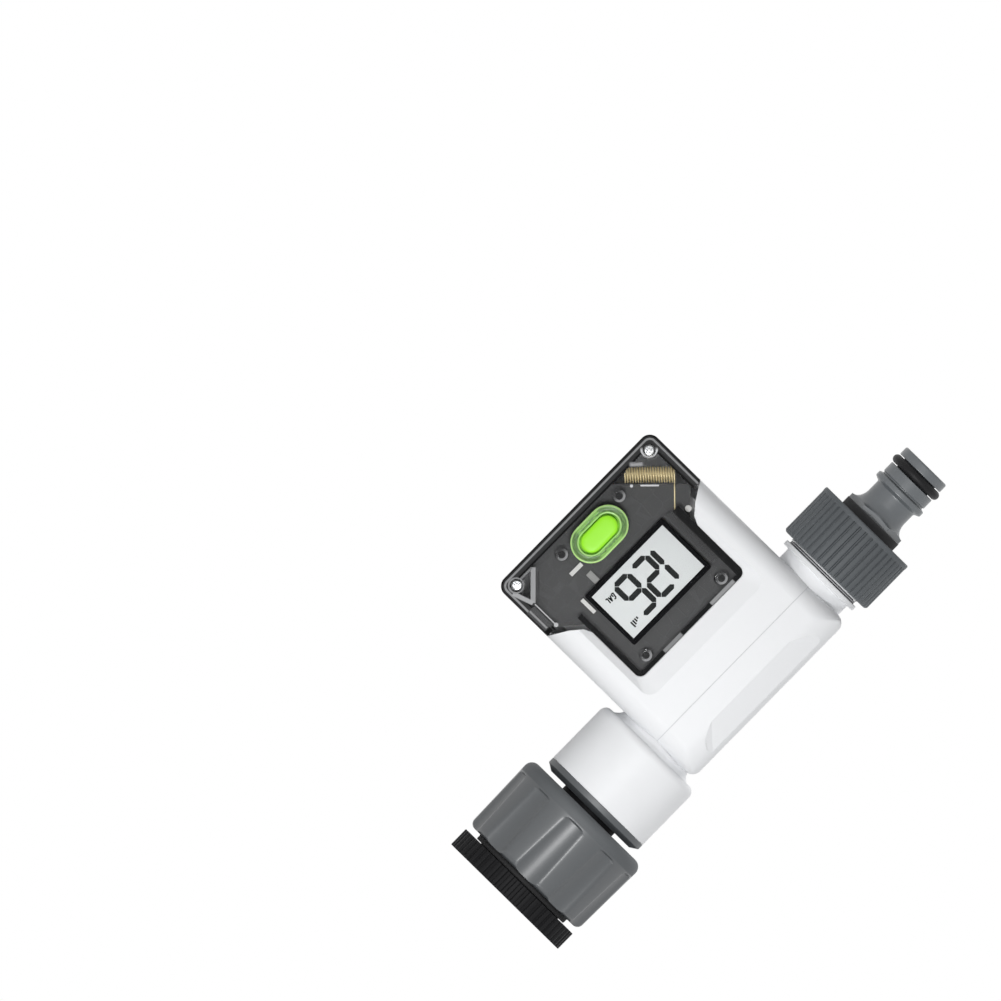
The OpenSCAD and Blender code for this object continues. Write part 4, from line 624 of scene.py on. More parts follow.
# Hose nipple: a push-on plug moulded in grey ABS, with a hexagon that flows into a waist, a catch
# ridge, and an O-ring groove before its tip. Its flange is clamped by the outlet nut.
HEX_START, HEX_STOP, HEX_FLAT, HEX_SOFT, BORE_BELOW = -155.15, -161, 8.75, 0.12, 7
WAIST_X, WAIST_R, WAIST_RUN, WAIST_DROP = -156.5, 7.24, 4.1, 2.86


def hexagonal(x, r, share):
    """Cuts the six flats where the outline is wider than they are, with softened corners."""
    if not HEX_STOP < x < HEX_START or r < BORE_BELOW:
        return x, r, share
    corner = (share * 360 - 90) % 60
    flat = HEX_FLAT / math.cos(math.radians(30 - corner))
    blend = max(0, min(1, 0.5 + (flat - r) / (2 * HEX_SOFT)))
    return x, flat + (r - flat) * blend - HEX_SOFT * blend * (1 - blend), share


waist = []
for a in range(0, 91, 6):
    along, down = 1 - math.cos(math.radians(a)), 1 - math.sin(math.radians(a))
    waist.append((WAIST_X - WAIST_RUN * along, WAIST_R + WAIST_DROP * down, 0))
nipple = turned("hose_nipple_body", softened([
    (-145.7, 4.9, 0.4), (-145.7, 12.7, 0.3), (-148.3, 12.7, 0.3), (-148.3, 10.25, 0),
    (-155.1, 10.25, 0.3), *run((-155.2, 10.1), (-156.4, 10.1), 0.15), *waist,
    (-164.4, WAIST_R, 0.6), (-165.2, 8.92, 0.4), (-166.8, 8.92, 0.35), (-167.25, 7.8, 0.15),
    (-167.65, 7.8, 0.1), (-167.85, 8.15, 0.1), (-171.2, 8.15, 0.25), (-171.2, 6.15, 0.2),
    (-174.5, 6.15, 0.2), (-174.5, 8.15, 0.25), (-177.4, 8.15, 0.6), (-177.4, 4.9, 0.5),
], 6), 180, hexagonal)
# The nipple's grey is made lighter than the nut's, as a painted highlight.
nipple_grey_painted_lighter = [c * 1.85 for c in grey_abs]
# The nipple's collar next to the outlet nut is painted near-black as shade.
dress(nipple, banded_grey("grey_abs_nipple", nipple_grey_painted_lighter, -155.05, -152, -148, -147),
      "hose_nipple", "grey_plastic", "outlet_nipple")

# Outlet nut: grey ABS with straight ribs all round, a plain band at the hose side and the hose
# thread inside. It draws the nipple's flange against the washer.
OUTLET_BORE, OUTLET_RIBS = 13.3, 44
outlet_core = turned("outlet_nut_body", softened([
    (-134.6, 13.7, 0), (-134.6, 15.85, 0.6), (-150.9, 15.95, 0), (-151.0, 16.8, 0.3),
    (-152.5, 16.8, 0.5), (-152.5, 10.33, 0.4), (-148.5, 10.33, 0), (-148.5, OUTLET_BORE, 0),
    *run((-148.3, OUTLET_BORE), (-134.9, OUTLET_BORE), 0.15),
]), 144, thread(-134.9, -148.3, HOSE_PITCH, -HOSE_DEPTH, OUTLET_BORE))
grip = rib([(-134.62, 15.4), (-134.62, 15.7), (-134.75, 16.2), (-135.3, 16.7), (-151.2, 16.7),
            (-151.2, 15.4)], 2.1, 1.45, 0.14)
grip_grey = moulding("satin_grey_grip", [c * 1.5 for c in grey_abs], 0.6, texture=0.003)
grip_grey.surface({"Specular IOR Level": 0.4})
dress(ribbed(outlet_core, grip, OUTLET_RIBS, grip_grey),
      grip_grey, "hose_nut", "grey_plastic", "outlet_nut")

# Case: a lower half with the display window and the battery bay, and a cover over the pipe, both
# in satin white ABS. They meet in a fine line at the height of the flow axis. The cover's ends
# over the pipe are shaded as rounder than their mesh.
low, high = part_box("main_housing")
MIDDLE_X = (low.x + high.x) / 2 / MM
case_white = moulding("white_abs_case", white_abs, 0.45, texture=0.0012)
seam = case_white.band(case_white.axis(2), -0.14, 0.14, 0.12)
from_middle = case_white.maths("ABSOLUTE", case_white.axis(0) - MIDDLE_X)
cover_end = case_white.rise(from_middle, 25, 27) * case_white.rise(case_white.axis(2), 3, 5)
rounded = case_white.add("Mix", {"data_type": "VECTOR"}, {
    0: cover_end, 4: case_white.soft_edges(0.25), 5: case_white.soft_edges(2.2)}, out=1)
case_white.surface({"Base Color": case_white.tint(seam, white_abs, (0.68, 0.69, 0.71)),
                    "Specular IOR Level": 0.3, "Normal": rounded})
coat(case_white, "main_housing", "pipe_cover")
coat(white, "battery_door")

# Circuit board: glass-fibre laminate under dark grey solder mask, with fine tracks that show as
# faint raised lines. The radio's can and the processor sit on its back.
board = Finish("dark_solder_mask")
mottle = board.grain(0.6, 1.0)
lane = board.add("TexVoronoi", {"feature": "DISTANCE_TO_EDGE"},
                 {"Vector": board.spot, "Scale": 0.22, "Randomness": 0.35})
track = board.rise(lane, 0.05, 0.03)
board.surface({
    "Specular IOR Level": 0.1,
    "Base Color": board.tint(track * 0.35, (0.085, 0.086, 0.088), (0.105, 0.107, 0.11)),
    "Roughness": 0.42 + (mottle - 0.5) * 0.1,
    "Normal": board.relief(track, 0.02, board.soft_edges(0.08)),
})
coat(board, "circuit_board")
tin = metal("tinned_steel", (0.66, 0.66, 0.64), 0.3, 6, 0)
coat(tin, "radio_module", "battery_contacts")
chip = moulding("chip_case", (0.03, 0.03, 0.032), 0.5, texture=0.01, edge=0.1)
coat(chip, "processor_chip", "hall_sensor", "tact_switch")
pale = moulding("pale_parts", (0.75, 0.75, 0.72), 0.4, edge=0.1)
coat(pale, "switch_plunger")
parts_pale = (0.7, 0.7, 0.68)
parts = moulding("board_parts", parts_pale, 0.4, edge=0.15)
resistor = (parts.band(parts.axis(2), -50.5, -44.0)
            * parts.rise(parts.axis(0), MIDDLE_X + 14, MIDDLE_X + 13))
parts.surface({"Base Color": parts.tint(resistor, parts_pale, (0.24, 0.24, 0.235))})
coat(parts, "board_components")

# Display: a reflective glass in a black frame with bevelled inner faces, on two conductive rubber
# strips. Its dark segments are thin plates on the face of the glass.
lcd = Finish("display_glass")
haze = lcd.grain(0.05)
lcd.surface({
    "Base Color": lcd.tint(haze, (0.75, 0.78, 0.78), (0.78, 0.81, 0.81)),
    "Roughness": 0.3 + (haze - 0.5) * 0.05,
    "Specular IOR Level": 0.15,
})
coat(lcd, "lcd_panel")
strips = moulding("conductive_silicone", (0.6, 0.35, 0.38), 0.6, edge=0.1)
coat(strips, "lcd_contact_strips")
LCD_Z = -34.7


def frame_ring(half_w, half_h, corner, y):
    """A rounded rectangle round the display, as points at depth y."""
    ring = []
    for quarter, (sx, sz) in enumerate(((1, 1), (-1, 1), (-1, -1), (1, -1))):
        for k in range(5):
            a = math.radians(22.5 * k + 90 * quarter)
            ring.append((MIDDLE_X + sx * (half_w - corner) + corner * math.cos(a), y,
                         LCD_Z + sz * (half_h - corner) + corner * math.sin(a)))
    return ring


bezel = skinned("display_frame", [
    frame_ring(16.2, 10.3, 0.6, -9.95), frame_ring(16.2, 10.3, 0.6, -12.35),
    frame_ring(16.0, 10.1, 0.5, -12.58), frame_ring(15.6, 9.7, 0.4, -12.6),
    frame_ring(15.45, 9.25, 0.2, -12.55), frame_ring(14.85, 8.65, 0.1, -12.1),
    frame_ring(14.85, 8.65, 0.1, -12.07), frame_ring(15.5, 9.3, 0.1, -12.07),
    frame_ring(15.5, 9.3, 0.1, -9.95)], True, 20)
frame_black = moulding("satin_black_frame", (0.01, 0.01, 0.011), 0.4, texture=0.001, edge=0.06)
frame_black.surface({"Specular IOR Level": 0.0})
dress(bezel, frame_black, "housing", "black_plastic", "lcd_bezel")


def plates(name, outlines, y0, y1):
    """Flat plates facing the front, each from its outline of (x, z) points."""
    mesh = bmesh.new()
    for outline in outlines:
        ends = [[mesh.verts.new(Vector((MIDDLE_X + x, y, z)) * MM) for x, z in outline]
                for y in (y0, y1)]
        for i in range(len(outline)):
            j = (i + 1) % len(outline)
            mesh.faces.new((ends[0][i], ends[0][j], ends[1][j], ends[1][i]))
        for end in ends:
            mesh.faces.new(end)
    return finished(name, mesh)


def bar(x0, z0, x1, z1, width, point=0.0):
    """A straight stroke from one place to another, with pointed ends if asked."""
    start, end = Vector((x0, z0)), Vector((x1, z1))
    way = (end - start).normalized()
    side = Vector((-way.y, way.x)) * width / 2
    if not point:
        return [start + side, end + side, end - side, start - side]
    tip = way * point
    return [start, start + tip + side, end - tip + side, end, end - tip - side, start + tip - side]


DIGIT_TOP, DIGIT_MIDDLE, DIGIT_FOOT = -28.7, -34.75, -40.7
STROKE, STROKE_GAP = 1.7, 0.08


def digit(left, right, lit):
    """One figure of pointed strokes between two upright lines, seven where all of them are lit."""
    strokes = {
        "top": (left, DIGIT_TOP, right, DIGIT_TOP),
        "middle": (left, DIGIT_MIDDLE, right, DIGIT_MIDDLE),
        "foot": (left, DIGIT_FOOT, right, DIGIT_FOOT),
        "upper_left": (left, DIGIT_TOP, left, DIGIT_MIDDLE),
        "lower_left": (left, DIGIT_MIDDLE, left, DIGIT_FOOT),
        "upper_right": (right, DIGIT_TOP, right, DIGIT_MIDDLE),
        "lower_right": (right, DIGIT_MIDDLE, right, DIGIT_FOOT),
    }
    shapes = []
    for name in lit:
        x0, z0, x1, z1 = strokes[name]
        gap = Vector((x1 - x0, z1 - z0)).normalized() * STROKE_GAP
        shapes.append(bar(x0 + gap.x, z0 + gap.y, x1 - gap.x, z1 - gap.y, STROKE, STROKE / 2))
    return shapes


shapes = digit(-11.5, -7.0, ("upper_right", "lower_right"))
shapes += digit(-4.9, 0.5, ("top", "upper_right", "middle", "lower_left", "foot"))
shapes += digit(2.6, 8.0, ("top", "upper_left", "middle", "lower_left", "lower_right", "foot"))
UNIT_LEFT, UNIT_FOOT, UNIT_TOP, UNIT_SLANT, UNIT_STROKE = 9.6, -39.8, -38.1, 0.2, 0.42
unit_strokes = [
    (0.75, 1, 0.1, 1), (0.1, 1, 0.0, 0), (0.0, 0, 0.7, 0), (0.7, 0, 0.7, 0.45),
    (0.7, 0.45, 0.4, 0.45), (1.15, 0, 1.6, 1), (1.6, 1, 1.95, 0), (1.3, 0.35, 1.85, 0.35),
    (2.4, 1, 2.4, 0), (2.4, 0, 3.0, 0),
]
for x0, t0, x1, t1 in unit_strokes:
    ends = [(UNIT_LEFT + x + UNIT_SLANT * t, UNIT_FOOT + t * (UNIT_TOP - UNIT_FOOT))
            for x, t in ((x0, t0), (x1, t1))]
    shapes.append(bar(*ends[0], *ends[1], UNIT_STROKE))
SIGNAL_LEFT, SIGNAL_STEP, SIGNAL_FOOT, SIGNAL_LOWEST, SIGNAL_GROWTH = 9.8, 0.75, -30.0, -29.2, 0.42
for k in range(4):
    x = SIGNAL_LEFT + SIGNAL_STEP * k
    shapes.append(bar(x, SIGNAL_FOOT, x, SIGNAL_LOWEST + SIGNAL_GROWTH * k, 0.5))
GLASS_Y = -12.05
segments = plates("display_segments", shapes, GLASS_Y - 0.03, GLASS_Y - 0.005)
ink = moulding("segment_ink", (0.012, 0.014, 0.014), 0.5, texture=0.0005, edge=0.01)
ink.surface({"Specular IOR Level": 0.1})
dress(segments, ink, "housing", "black_plastic")

# Button: a lime key under a soft ring of clear green silicone that seals it in the cover. The key
# presses the switch on the board through its plunger.
KEY_Z, KEY_FLAT, RING_FLAT, HALF_STEPS = -54.7, 3.2, 3.65, 16


def oval(half_flat, radius, y):
    """A stadium round the key, as points at depth y."""
    ring = []
    for side, base in ((1, -90), (-1, 90)):
        for k in range(HALF_STEPS + 1):
            a = math.radians(base + 180 * k / HALF_STEPS)
            ring.append((MIDDLE_X + side * half_flat + radius * math.cos(a), y,
                         KEY_Z + radius * math.sin(a)))
    return ring


key = skinned("button_key_body", [oval(KEY_FLAT, radius, y) for radius, y in (
    (4.25, -11.8), (4.25, -12.4), (3.25, -12.4), (3.25, -15.2), (3.2, -15.5), (3.02, -15.72),
    (2.75, -15.84), (1.9, -15.89), (0.8, -15.9))], False, 40)
lime = moulding("lime_plastic", (0.36, 0.92, 0.03), 0.35, texture=0.0015, edge=0.2)
lime.surface({"Specular IOR Level": 0.25})
dress(key, lime, "button", "key_green", "button_key")
ring = skinned("button_ring_body", [*(oval(RING_FLAT, radius, y) for radius, y in (
    (4.7, -12.75), (4.7, -14.7), (6.05, -14.7), (6.05, -15.0), (5.9, -15.2), (5.6, -15.29),
    (5.25, -15.2), (4.9, -14.95), (4.3, -14.92), (4.1, -15.05), (3.95, -15.12), (3.75, -15.08))),
    *(oval(RING_FLAT - 0.15, 3.58, y) for y in (-14.9, -12.75))], True, 50)
silicone = Finish("green_silicone")
across = silicone.maths("ABSOLUTE", silicone.axis(0) - MIDDLE_X)
beside = silicone.maths("MAXIMUM", across - RING_FLAT)
ring_r = silicone.span(beside, silicone.axis(2) - KEY_Z)
# The pale bands at the ring's outer and inner lips are painted highlights.
painted_highlight = silicone.band(ring_r, 5.6, 6.3, 0.3) + silicone.band(ring_r, 3.5, 3.95, 0.25)
wavy = ring_r + (silicone.grain(0.8) - 0.5) * 1.6
streak = (silicone.band(wavy, 4.3, 4.75, 0.25)
          + silicone.band(wavy, 5.0, 5.2, 0.15) * silicone.rise(beside, 0.3, 1.0))
depths = silicone.tint(silicone.rise(beside, 0.2, 1.8), (0.26, 0.52, 0.12), (0.14, 0.27, 0.08))
green = silicone.tint(painted_highlight, depths, (0.48, 0.78, 0.24))
silicone.surface({
    "Specular IOR Level": 0.3,
    "Base Color": silicone.tint(streak * 0.7, green, (0.06, 0.13, 0.04)),
    "Roughness": 0.22 + silicone.grain(2.0) * 0.05,
    "Normal": silicone.relief(silicone.grain(4.0), 0.002, silicone.soft_edges(0.1)),
    "Subsurface Weight": 0.1,
})
dress(ring, silicone, "housing", "ring_green", "button_ring")

# Antenna: a helix of gold-plated wire beside the board's cut corner. Its tail runs down onto the
# board to the radio.
gold = metal("gold_plated_wire", (0.93, 0.79, 0.46), 0.4, 1, 0)
gold.surface({"Metallic": 0.3})
COIL_R, COIL_L, COIL_TURNS, COIL_STEPS, COIL_WIRE = 2.24, 14.6, 19, 30, 0.42
COIL_AT = Vector((MIDDLE_X - 22.8, -10.0, -56.4))
slant = math.sqrt(0.5)
coil_out, coil_up = Vector((slant, 0, slant)), Vector((0, 1, 0))
coil_along = Vector((-slant, 0, slant))
coil = [(-0.54, -COIL_R, -COIL_L / 2)]
for i in range(COIL_TURNS * COIL_STEPS + 1):
    a = 2 * math.pi * i / COIL_STEPS - math.pi / 2
    coil.append((COIL_R * math.cos(a), COIL_R * math.sin(a),
                 COIL_L * (i / COIL_STEPS / COIL_TURNS - 0.5)))
for across_tail, drop in ((0.8, 0), (1.8, 0.12), (2.8, 0.5), (3.8, 0.88), (4.8, 1), (10.8, 1)):
    coil.append((across_tail, -COIL_R + drop * (COIL_R - 0.11), COIL_L / 2))
coil = [COIL_AT + coil_out * u + coil_up * v + coil_along * w for u, v, w in coil]
antenna = wires("antenna_wire", [coil], COIL_WIRE, gold)
dress(antenna, gold, "housing", "antenna_gold", "antenna_coil")

# Wires: the sensor's three leads up to the board, the two battery leads, and the sprung ends of
# the battery bay, wound from steel wire.
SENSOR_PITCH, BOARD_PITCH, BOARD_Y, LEAD = 1.33, 0.92, -8.3, 0.78
insulation = moulding("red_insulation", (0.45, 0.03, 0.02), 0.4, texture=0.002, edge=0.05)
low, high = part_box("hall_sensor")
sensor_x, sensor_z = (low.x + high.x) / 2 / MM, (low.z + high.z) / 2 / MM
sensor_front = low.y / MM
sensor_leads = []
for k in (-1, 0, 1):
    x, foot_x = sensor_x + k * SENSOR_PITCH, MIDDLE_X + 19.3 + k * BOARD_PITCH
    sensor_leads.append(softened([
        (x, sensor_front + 0.1, sensor_z, 0), (x, sensor_front - 1.5, sensor_z, 1.0),
        (foot_x, -6.8, -18.3, 1.0), (foot_x, BOARD_Y, -18.3, 0)]))
dress(wires("sensor_lead_wires", sensor_leads, LEAD, insulation), insulation, "housing", "lead_red",
      "sensor_leads")
CELL_ZS, CELL_Y = (-30.5, -41.5), 6.55
bay_leads = [softened([(-71.8, 1, z, 0), (-71.8, -2.1, z, 1.0), (-78.7, -2.1, z, 1.0),
                       (-78.7, BOARD_Y, z, 0)]) for z in CELL_ZS]
dress(wires("battery_lead_wires", bay_leads, LEAD, insulation), insulation, "housing", "lead_red",
      "battery_leads")
SPRING_TURNS, SPRING_STEPS, SPRING_WIRE = 4, 24, 0.5
SPRING_R, SPRING_TAPER, SPRING_L, SPRING_FOOT = 3.35, 1.1, 4.6, 24.6
springs = []
for z, way in zip(CELL_ZS, (1, -1)):
    path = []
    for i in range(SPRING_TURNS * SPRING_STEPS + 1):
        t = i / (SPRING_TURNS * SPRING_STEPS)
        a = 2 * math.pi * i / SPRING_STEPS
        r = SPRING_R - SPRING_TAPER * t
        x = MIDDLE_X - way * SPRING_FOOT + way * SPRING_L * t ** 1.15
        path.append((x, CELL_Y + r * math.sin(a), z + r * math.cos(a)))
    springs.append(path)
dress(wires("battery_spring_wires", springs, SPRING_WIRE, steel),
      steel, "housing", "steel", "battery_springs")

# Cells: two AAA cells side by side, the poles of one facing the other way, each in a steel can
# under a plain printed jacket with its ends left bare.
CELL_R = 5.24
for name, z, way in (("battery_1", CELL_ZS[0], 1), ("battery_2", CELL_ZS[1], -1)):
    low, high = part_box(name)
    back, front = [x / MM for x in (low.x, high.x)][::way]
    can = turned(name + "_can", softened([
        (back, 0, 0), (back, 3.8, 0.3), (back + way * 0.25, 4.2, 0.1),
        (back + way * 0.25, CELL_R, 0.4), (front - way * 1.3, CELL_R, 0.5),
        (front - way * 1.0, 4.4, 0.3), (front - way * 1.0, 1.9, 0.15), (front, 1.9, 0.35),
        (front, 0, 0)]), 72, closed=False)
    can.data.transform(Matrix.Translation((0, CELL_Y * MM, z * MM)))
    jacket = Finish(name + "_jacket")
    along = (jacket.axis(0) - back) * way
    label = jacket.band(along, 0.6, 43.0, 0.1)
    stripe = jacket.band(along, 33.0, 42.9, 0.1)
    printed = jacket.tint(stripe, (0.08, 0.14, 0.24), (0.5, 0.5, 0.5))
    jacket.surface({
        "Base Color": jacket.tint(label, (0.6, 0.6, 0.6), printed),
        "Metallic": 1 - label * 0.75,
        "Roughness": 0.26 + jacket.grain(3.0) * 0.08,
        "Normal": jacket.relief(jacket.grain(1.5), 0.004, jacket.soft_edges(0.1)),
    })
    dress(can, jacket, "housing", "cell_can", name)

# Screws: stainless pan heads with a cross, two through the display cover, four through the board
# from behind and four in the battery door.
at_places = Recipe("copies_at_places", {"Pattern": "Object", "Finish": "Material"})
given = at_places.given
one = at_places.add("GeometryNodeObjectInfo", sockets={"Object": given["Pattern"]}, out="Geometry")
at_places.end(at_places.add("GeometryNodeInstanceOnPoints",
                            sockets={"Points": given["Piece"], "Instance": one}))


def screw(head_r, head_t, shank_r, shank_l, facing):
    """A screw at the origin, with the top of its head facing along Y and its shank behind."""
    arm, shank_end = 0.16 * head_r, -head_t - shank_l + 0.4

    def cross(x, r, share):
        if x < -0.6 * head_t or r > 0.75 * head_r:
            return x, r, share
        y, z = r * math.cos(2 * math.pi * share), r * math.sin(2 * math.pi * share)
        nearest = min(abs(y), abs(z))
        in_arm = max(0, min(1, (arm - nearest) / (0.35 * arm) + 0.5))
        in_reach = max(0, min(1, (0.68 * head_r - r) / 0.1))
        return x - 0.55 * head_t * (in_arm * in_reach), r, share

    helix = thread(-head_t - 0.5, shank_end, 0.7, 0.22 * shank_r, shank_r)
    dome = [(-0.12 * head_t * (r / head_r) ** 2, r, 0)
            for r in [0.04 * k * head_r for k in range(1, 20)]]
    piece = turned("screw", softened([
        (0, 0, 0), *dome, (-0.2 * head_t, 0.9 * head_r, 0.12), (-0.5 * head_t, head_r, 0.12),
        (-head_t, head_r, 0.05), (-head_t, shank_r, 0),
        *run((-head_t - 0.4, shank_r), (shank_end, shank_r), 0.12),
        (-head_t - shank_l, 0.5 * shank_r, 0), (-head_t - shank_l, 0, 0)], 3), 48,
        lambda x, r, share: cross(*helix(x, r, share)), closed=False)
    piece.data.transform(Matrix.Rotation(math.radians(90 * facing), 4, "Z"))
    return piece


def screws(name, pattern, places, body, node):
    """Like screws at the places given, made one mesh. The pattern itself goes."""
    data = bpy.data.meshes.new(name)
    data.from_pydata([Vector(place) * MM for place in places], [], [])
    piece = at_places.make(placed(name, data), {"Pattern": pattern, "Finish": steel.material})
    bpy.data.objects.remove(pattern)
    dress(piece, steel, body, "steel", node)


COVER_HEAD = 1.75
low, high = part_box("cover_screws")
screw_z = (low.z + high.z) / 2 / MM
screws("cover_screw_set", screw(COVER_HEAD, 1.3, 1.0, 14.5, -1),
       [(x, -13.6, screw_z) for x in (low.x / MM + COVER_HEAD, high.x / MM - COVER_HEAD)],
       "housing", "cover_screws")
POSTS = [(12, -58.4), (-12, -58.4), (15.7, -20.1), (-15.7, -20.1)]
screws("board_screw_set", screw(1.7, 1.1, 0.8, 3.5, 1),
       [(MIDDLE_X + x, -7.2, z) for x, z in POSTS], "housing", "board_screws")
screws("door_screw_set", screw(1.9, 1.1, 1.1, 9.2, 1),
       [(MIDDLE_X + x, 16.4, -36 + z) for x in (-20, 20) for z in (-15.4, 15.4)],
       "battery_hatch", "door_screws")

# Display cover: clear polycarbonate, held by two screws and a catch. Where its walls, posts and
# ribs stand behind the front face they turn the light away; the dark and pale lines this makes
# are painted into its colour: painted shade and painted highlights.
clear = Finish("clear_polycarbonate")
dx, z = clear.axis(0) - MIDDLE_X, clear.axis(2)
CASE_HALF_W, CASE_FOOT, CORNER_R = 32.2, 65.6, 3.3
past_x = clear.maths("ABSOLUTE", dx) - (CASE_HALF_W - CORNER_R)
past_z = (0 - z) - (CASE_FOOT - CORNER_R)
outside = clear.span(clear.maths("MAXIMUM", past_x), clear.maths("MAXIMUM", past_z))
inset = CORNER_R - outside - clear.maths("MINIMUM", clear.maths("MAXIMUM", past_x, past_z))
facing = clear.add("SeparateXYZ", sockets={0: clear.add("TexCoord", out="Normal")}, out=1)
frontal = clear.rise(clear.maths("ABSOLUTE", facing), 0.25, 0.5)
below = clear.rise(z, -43.9, -44.7)


def round_mark(cx, cz, r0, r1, soft=0.3):
    """A disc or a ring round a place, between two radii."""
    return clear.band(clear.span(dx - cx, z - cz), r0, r1, soft)


def line_mark(x0, z0, x1, z1, width, soft=0.3):
    """A straight line from one place to another."""
    length = math.dist((x0, z0), (x1, z1))
    ux, uz = (x1 - x0) / length, (z1 - z0) / length
    along = (dx - x0) * ux + (z - z0) * uz
    aside = clear.maths("ABSOLUTE", (z - z0) * ux - (dx - x0) * uz)
    return (clear.band(along, 0, length, soft)
            * clear.rise(aside, (width + soft) / 2, (width - soft) / 2))


def edge_mark(low, high, soft=0.2):
    """A line along the foot and the lower sides, between two depths in from the edge."""
    return clear.band(inset, low, high, soft) * below


# Each row is a painted mark, dark ones as shade and pale ones as highlights: the mark, its
# brightness and how far it hides what is behind. Later rows lie on top.
marks = [
    (edge_mark(-1, 3.2), 0.045, 0.9),
    (edge_mark(-1, 0.45), 0.012, 0.95),
    (edge_mark(0.95, 1.55), 0.36, 0.85),
    (edge_mark(2.7, 3.25), 0.012, 0.95),
    (line_mark(-20.9, -15, -20.9, -44, 2.4), 0.02, 0.8),
    (line_mark(21.3, -15, 21.3, -42, 1.6), 0.02, 0.8),
    (line_mark(-22, -16.7, 22, -16.7, 1.7), 0.02, 0.8),
    (line_mark(-18.3, -25, -18.3, -44.6, 2.6, 1.0), 0.1, 0.35),
    (line_mark(-17.9, -16.9, -8.3, -16.9, 1.2, 0.5), 0.36, 0.85),
    (line_mark(4, -16.9, 11.3, -16.9, 1.2, 0.5), 0.3, 0.8),
    (line_mark(-18.6, -56.1, -22.5, -52.2, 0.55, 0.25), 0.7, 0.85),
    (round_mark(-16.7, -57.9, -1, 0.5), 0.7, 0.85),
    (line_mark(-20.8, -62.6, -23.7, -60, 1.2, 0.9), 0.45, 0.7),
    (line_mark(20.6, -61.8, 28.2, -54.4, 1.5), 0.42, 0.8),
    (line_mark(28.2, -54.4, 30.3, -60.6, 1.3), 0.5, 0.8),
    (line_mark(21, -62, 30, -62, 0.6), 0.3, 0.6),
    (line_mark(30, -45.8, 30, -53.6, 3.0, 0.5), 0.12, 0.7),
    (line_mark(28, -45.6, 28, -53.8, 0.4), 0.6, 0.85),
    (line_mark(30.6, -46.4, 30.6, -53.4, 0.5), 0.4, 0.7),
    (line_mark(30.9, -44.6, 30.9, -46.1, 2.3), 0.01, 0.95),
    (round_mark(28, -45.1, -1, 0.7), 0.6, 0.8),
    (round_mark(28, -61.6, 1.9, 2.4), 0.4, 0.7),
    (round_mark(-28.1, -61.8, 1.8, 2.6) * clear.rise(dx + z, -90.9, -89.1), 0.75, 0.85),
]
for cx, cz in ((12.05, -58.4), (-12.05, -58.4), (15.85, -20), (-15.85, -20)):
    # Each post shows as a dark centre of painted shade and a pale ring of painted highlight,
    # painted brighter on its upper side as if lit from above.
    lit = 0.3 + 0.7 * clear.rise(z, cz - 1.6, cz + 1.4)
    marks += [(round_mark(cx, cz, -1, 1.05), 0.04, 0.85),
              (round_mark(cx, cz, 1.1, 1.9) * lit, 0.38, 0.8)]
colour, cover = (0.05, 0.05, 0.052), 0.02
for mask, shade, hold in marks:
    mask = mask * frontal
    colour = clear.tint(mask, colour, (shade, shade * 1.01, shade * 1.03))
    cover = cover + mask * (hold - cover)
wall = (1 - frontal) * clear.rise(inset, 2.6, 2.0)
cover = cover + wall * 0.3
gloss = clear.add("LayerWeight", sockets={"Blend": 0.3}, out=0) - 0.035
mirror = clear.maths("MAXIMUM", gloss * 0.8)
total = clear.maths("MINIMUM", cover + mirror, 1.0)
mirror_share = mirror / (total + 0.01)
clear.surface({
    "Specular IOR Level": 0.0,
    "Base Color": clear.tint(mirror_share, colour, (0.95, 0.95, 0.95)),
    "Metallic": clear.maths("MINIMUM", mirror_share, 1.0),
    "Roughness": 0.1 + clear.grain(0.4) * 0.03,
    "Alpha": total,
    "Normal": clear.soft_edges(0.15),
})
coat(clear, "display_cover")

# Floor, light and camera: a pale table that the meter stands on, soft lamps in front, at one side,
# above and behind, and a camera without perspective that looks straight at the front. The lamps
# above and behind don't show in gloss.
floor_mesh = bmesh.new()
bmesh.ops.create_grid(floor_mesh, x_segments=8, y_segments=8, size=1.5)
bmesh.ops.translate(floor_mesh, verts=floor_mesh.verts, vec=(-0.09, 0, cad_box[0][2] - 0.0002))
table = finished("table", floor_mesh)
tabletop = Finish("pale_table")
seen = tabletop.add("LightPath", out="Is Camera Ray")
for ray in ("Is Glossy Ray", "Is Transmission Ray"):
    seen = tabletop.maths("MAXIMUM", seen, tabletop.add("LightPath", out=ray))
tabletop.surface({
    "Base Color": (0.32, 0.32, 0.32, 1),
    "Roughness": 0.8,
    "Emission Color": tabletop.tint(seen, (0.16, 0.16, 0.16), (1, 1, 1)),
    "Emission Strength": 0.75,
})
table.data.materials.append(tabletop.material)

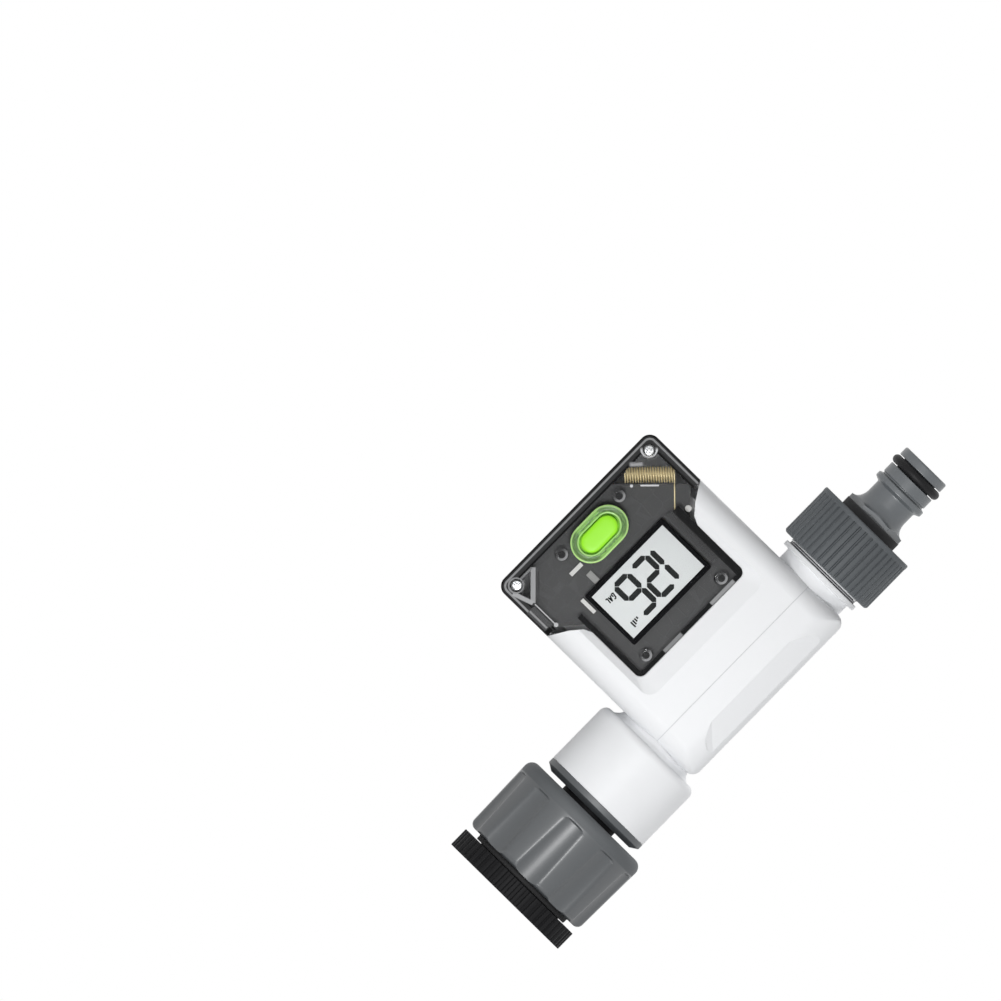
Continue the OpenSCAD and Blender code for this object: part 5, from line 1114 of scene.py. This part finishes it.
world = bpy.data.worlds.new("studio")
world.use_nodes = True
bpy.context.scene.world = world
AMBIENT = 0.2
sky = world.node_tree
background = sky.nodes["Background"]
rays = sky.nodes.new("ShaderNodeLightPath").outputs
seen = rays["Is Camera Ray"]
for ray in ("Is Glossy Ray", "Is Transmission Ray"):
    larger = sky.nodes.new("ShaderNodeMath")
    larger.operation = "MAXIMUM"
    sky.links.new(seen, larger.inputs[0])
    sky.links.new(rays[ray], larger.inputs[1])
    seen = larger.outputs[0]
level = sky.nodes.new("ShaderNodeMapRange")
level.inputs["To Min"].default_value = AMBIENT
sky.links.new(seen, level.inputs["Value"])
sky.links.new(level.outputs[0], background.inputs["Strength"])
background.inputs["Color"].default_value = (1, 1, 1, 1)

TARGET = Vector((-0.095, 0, -0.02))
for name, place, size, watts, shines in (
    ("key_light", (-0.045, -0.3, -0.002), (0.08, 0.08), 0.48, True),
    ("side_light", (0.2, -0.33, 0.08), (0.09, 0.09), 0.3, True),
    ("top_light", (-0.1, 0.05, 0.55), (0.3, 0.3), 0.9, False),
    ("back_light", (-0.42, 0.5, 0.22), (0.3, 0.3), 3.4, False),
):
    data = bpy.data.lights.new(name, "AREA")
    data.shape = "RECTANGLE"
    data.size, data.size_y = size
    data.energy = watts
    lamp = placed(name, data)
    lamp.location = place
    lamp.visible_glossy = shines
    lamp.rotation_euler = (TARGET - Vector(place)).to_track_quat("-Z", "Y").to_euler()

VIEW_WIDTH = 294.4
AIM = Vector((-82.37, -300, -82.39)) * MM
picture_right = Vector((-0.70029, 0, 0.71386))
picture_up = Vector((-0.71386, 0, -0.70029))
lens = bpy.data.cameras.new("front_camera")
lens.type = "ORTHO"
lens.ortho_scale = VIEW_WIDTH * MM
camera = placed("front_camera", lens)
picture_axes = Matrix((picture_right, picture_up, picture_right.cross(picture_up))).transposed()
camera.matrix_world = Matrix.Translation(AIM) @ picture_axes.to_4x4()
bpy.context.scene.camera = camera
bpy.context.scene.view_settings.view_transform = "Standard"
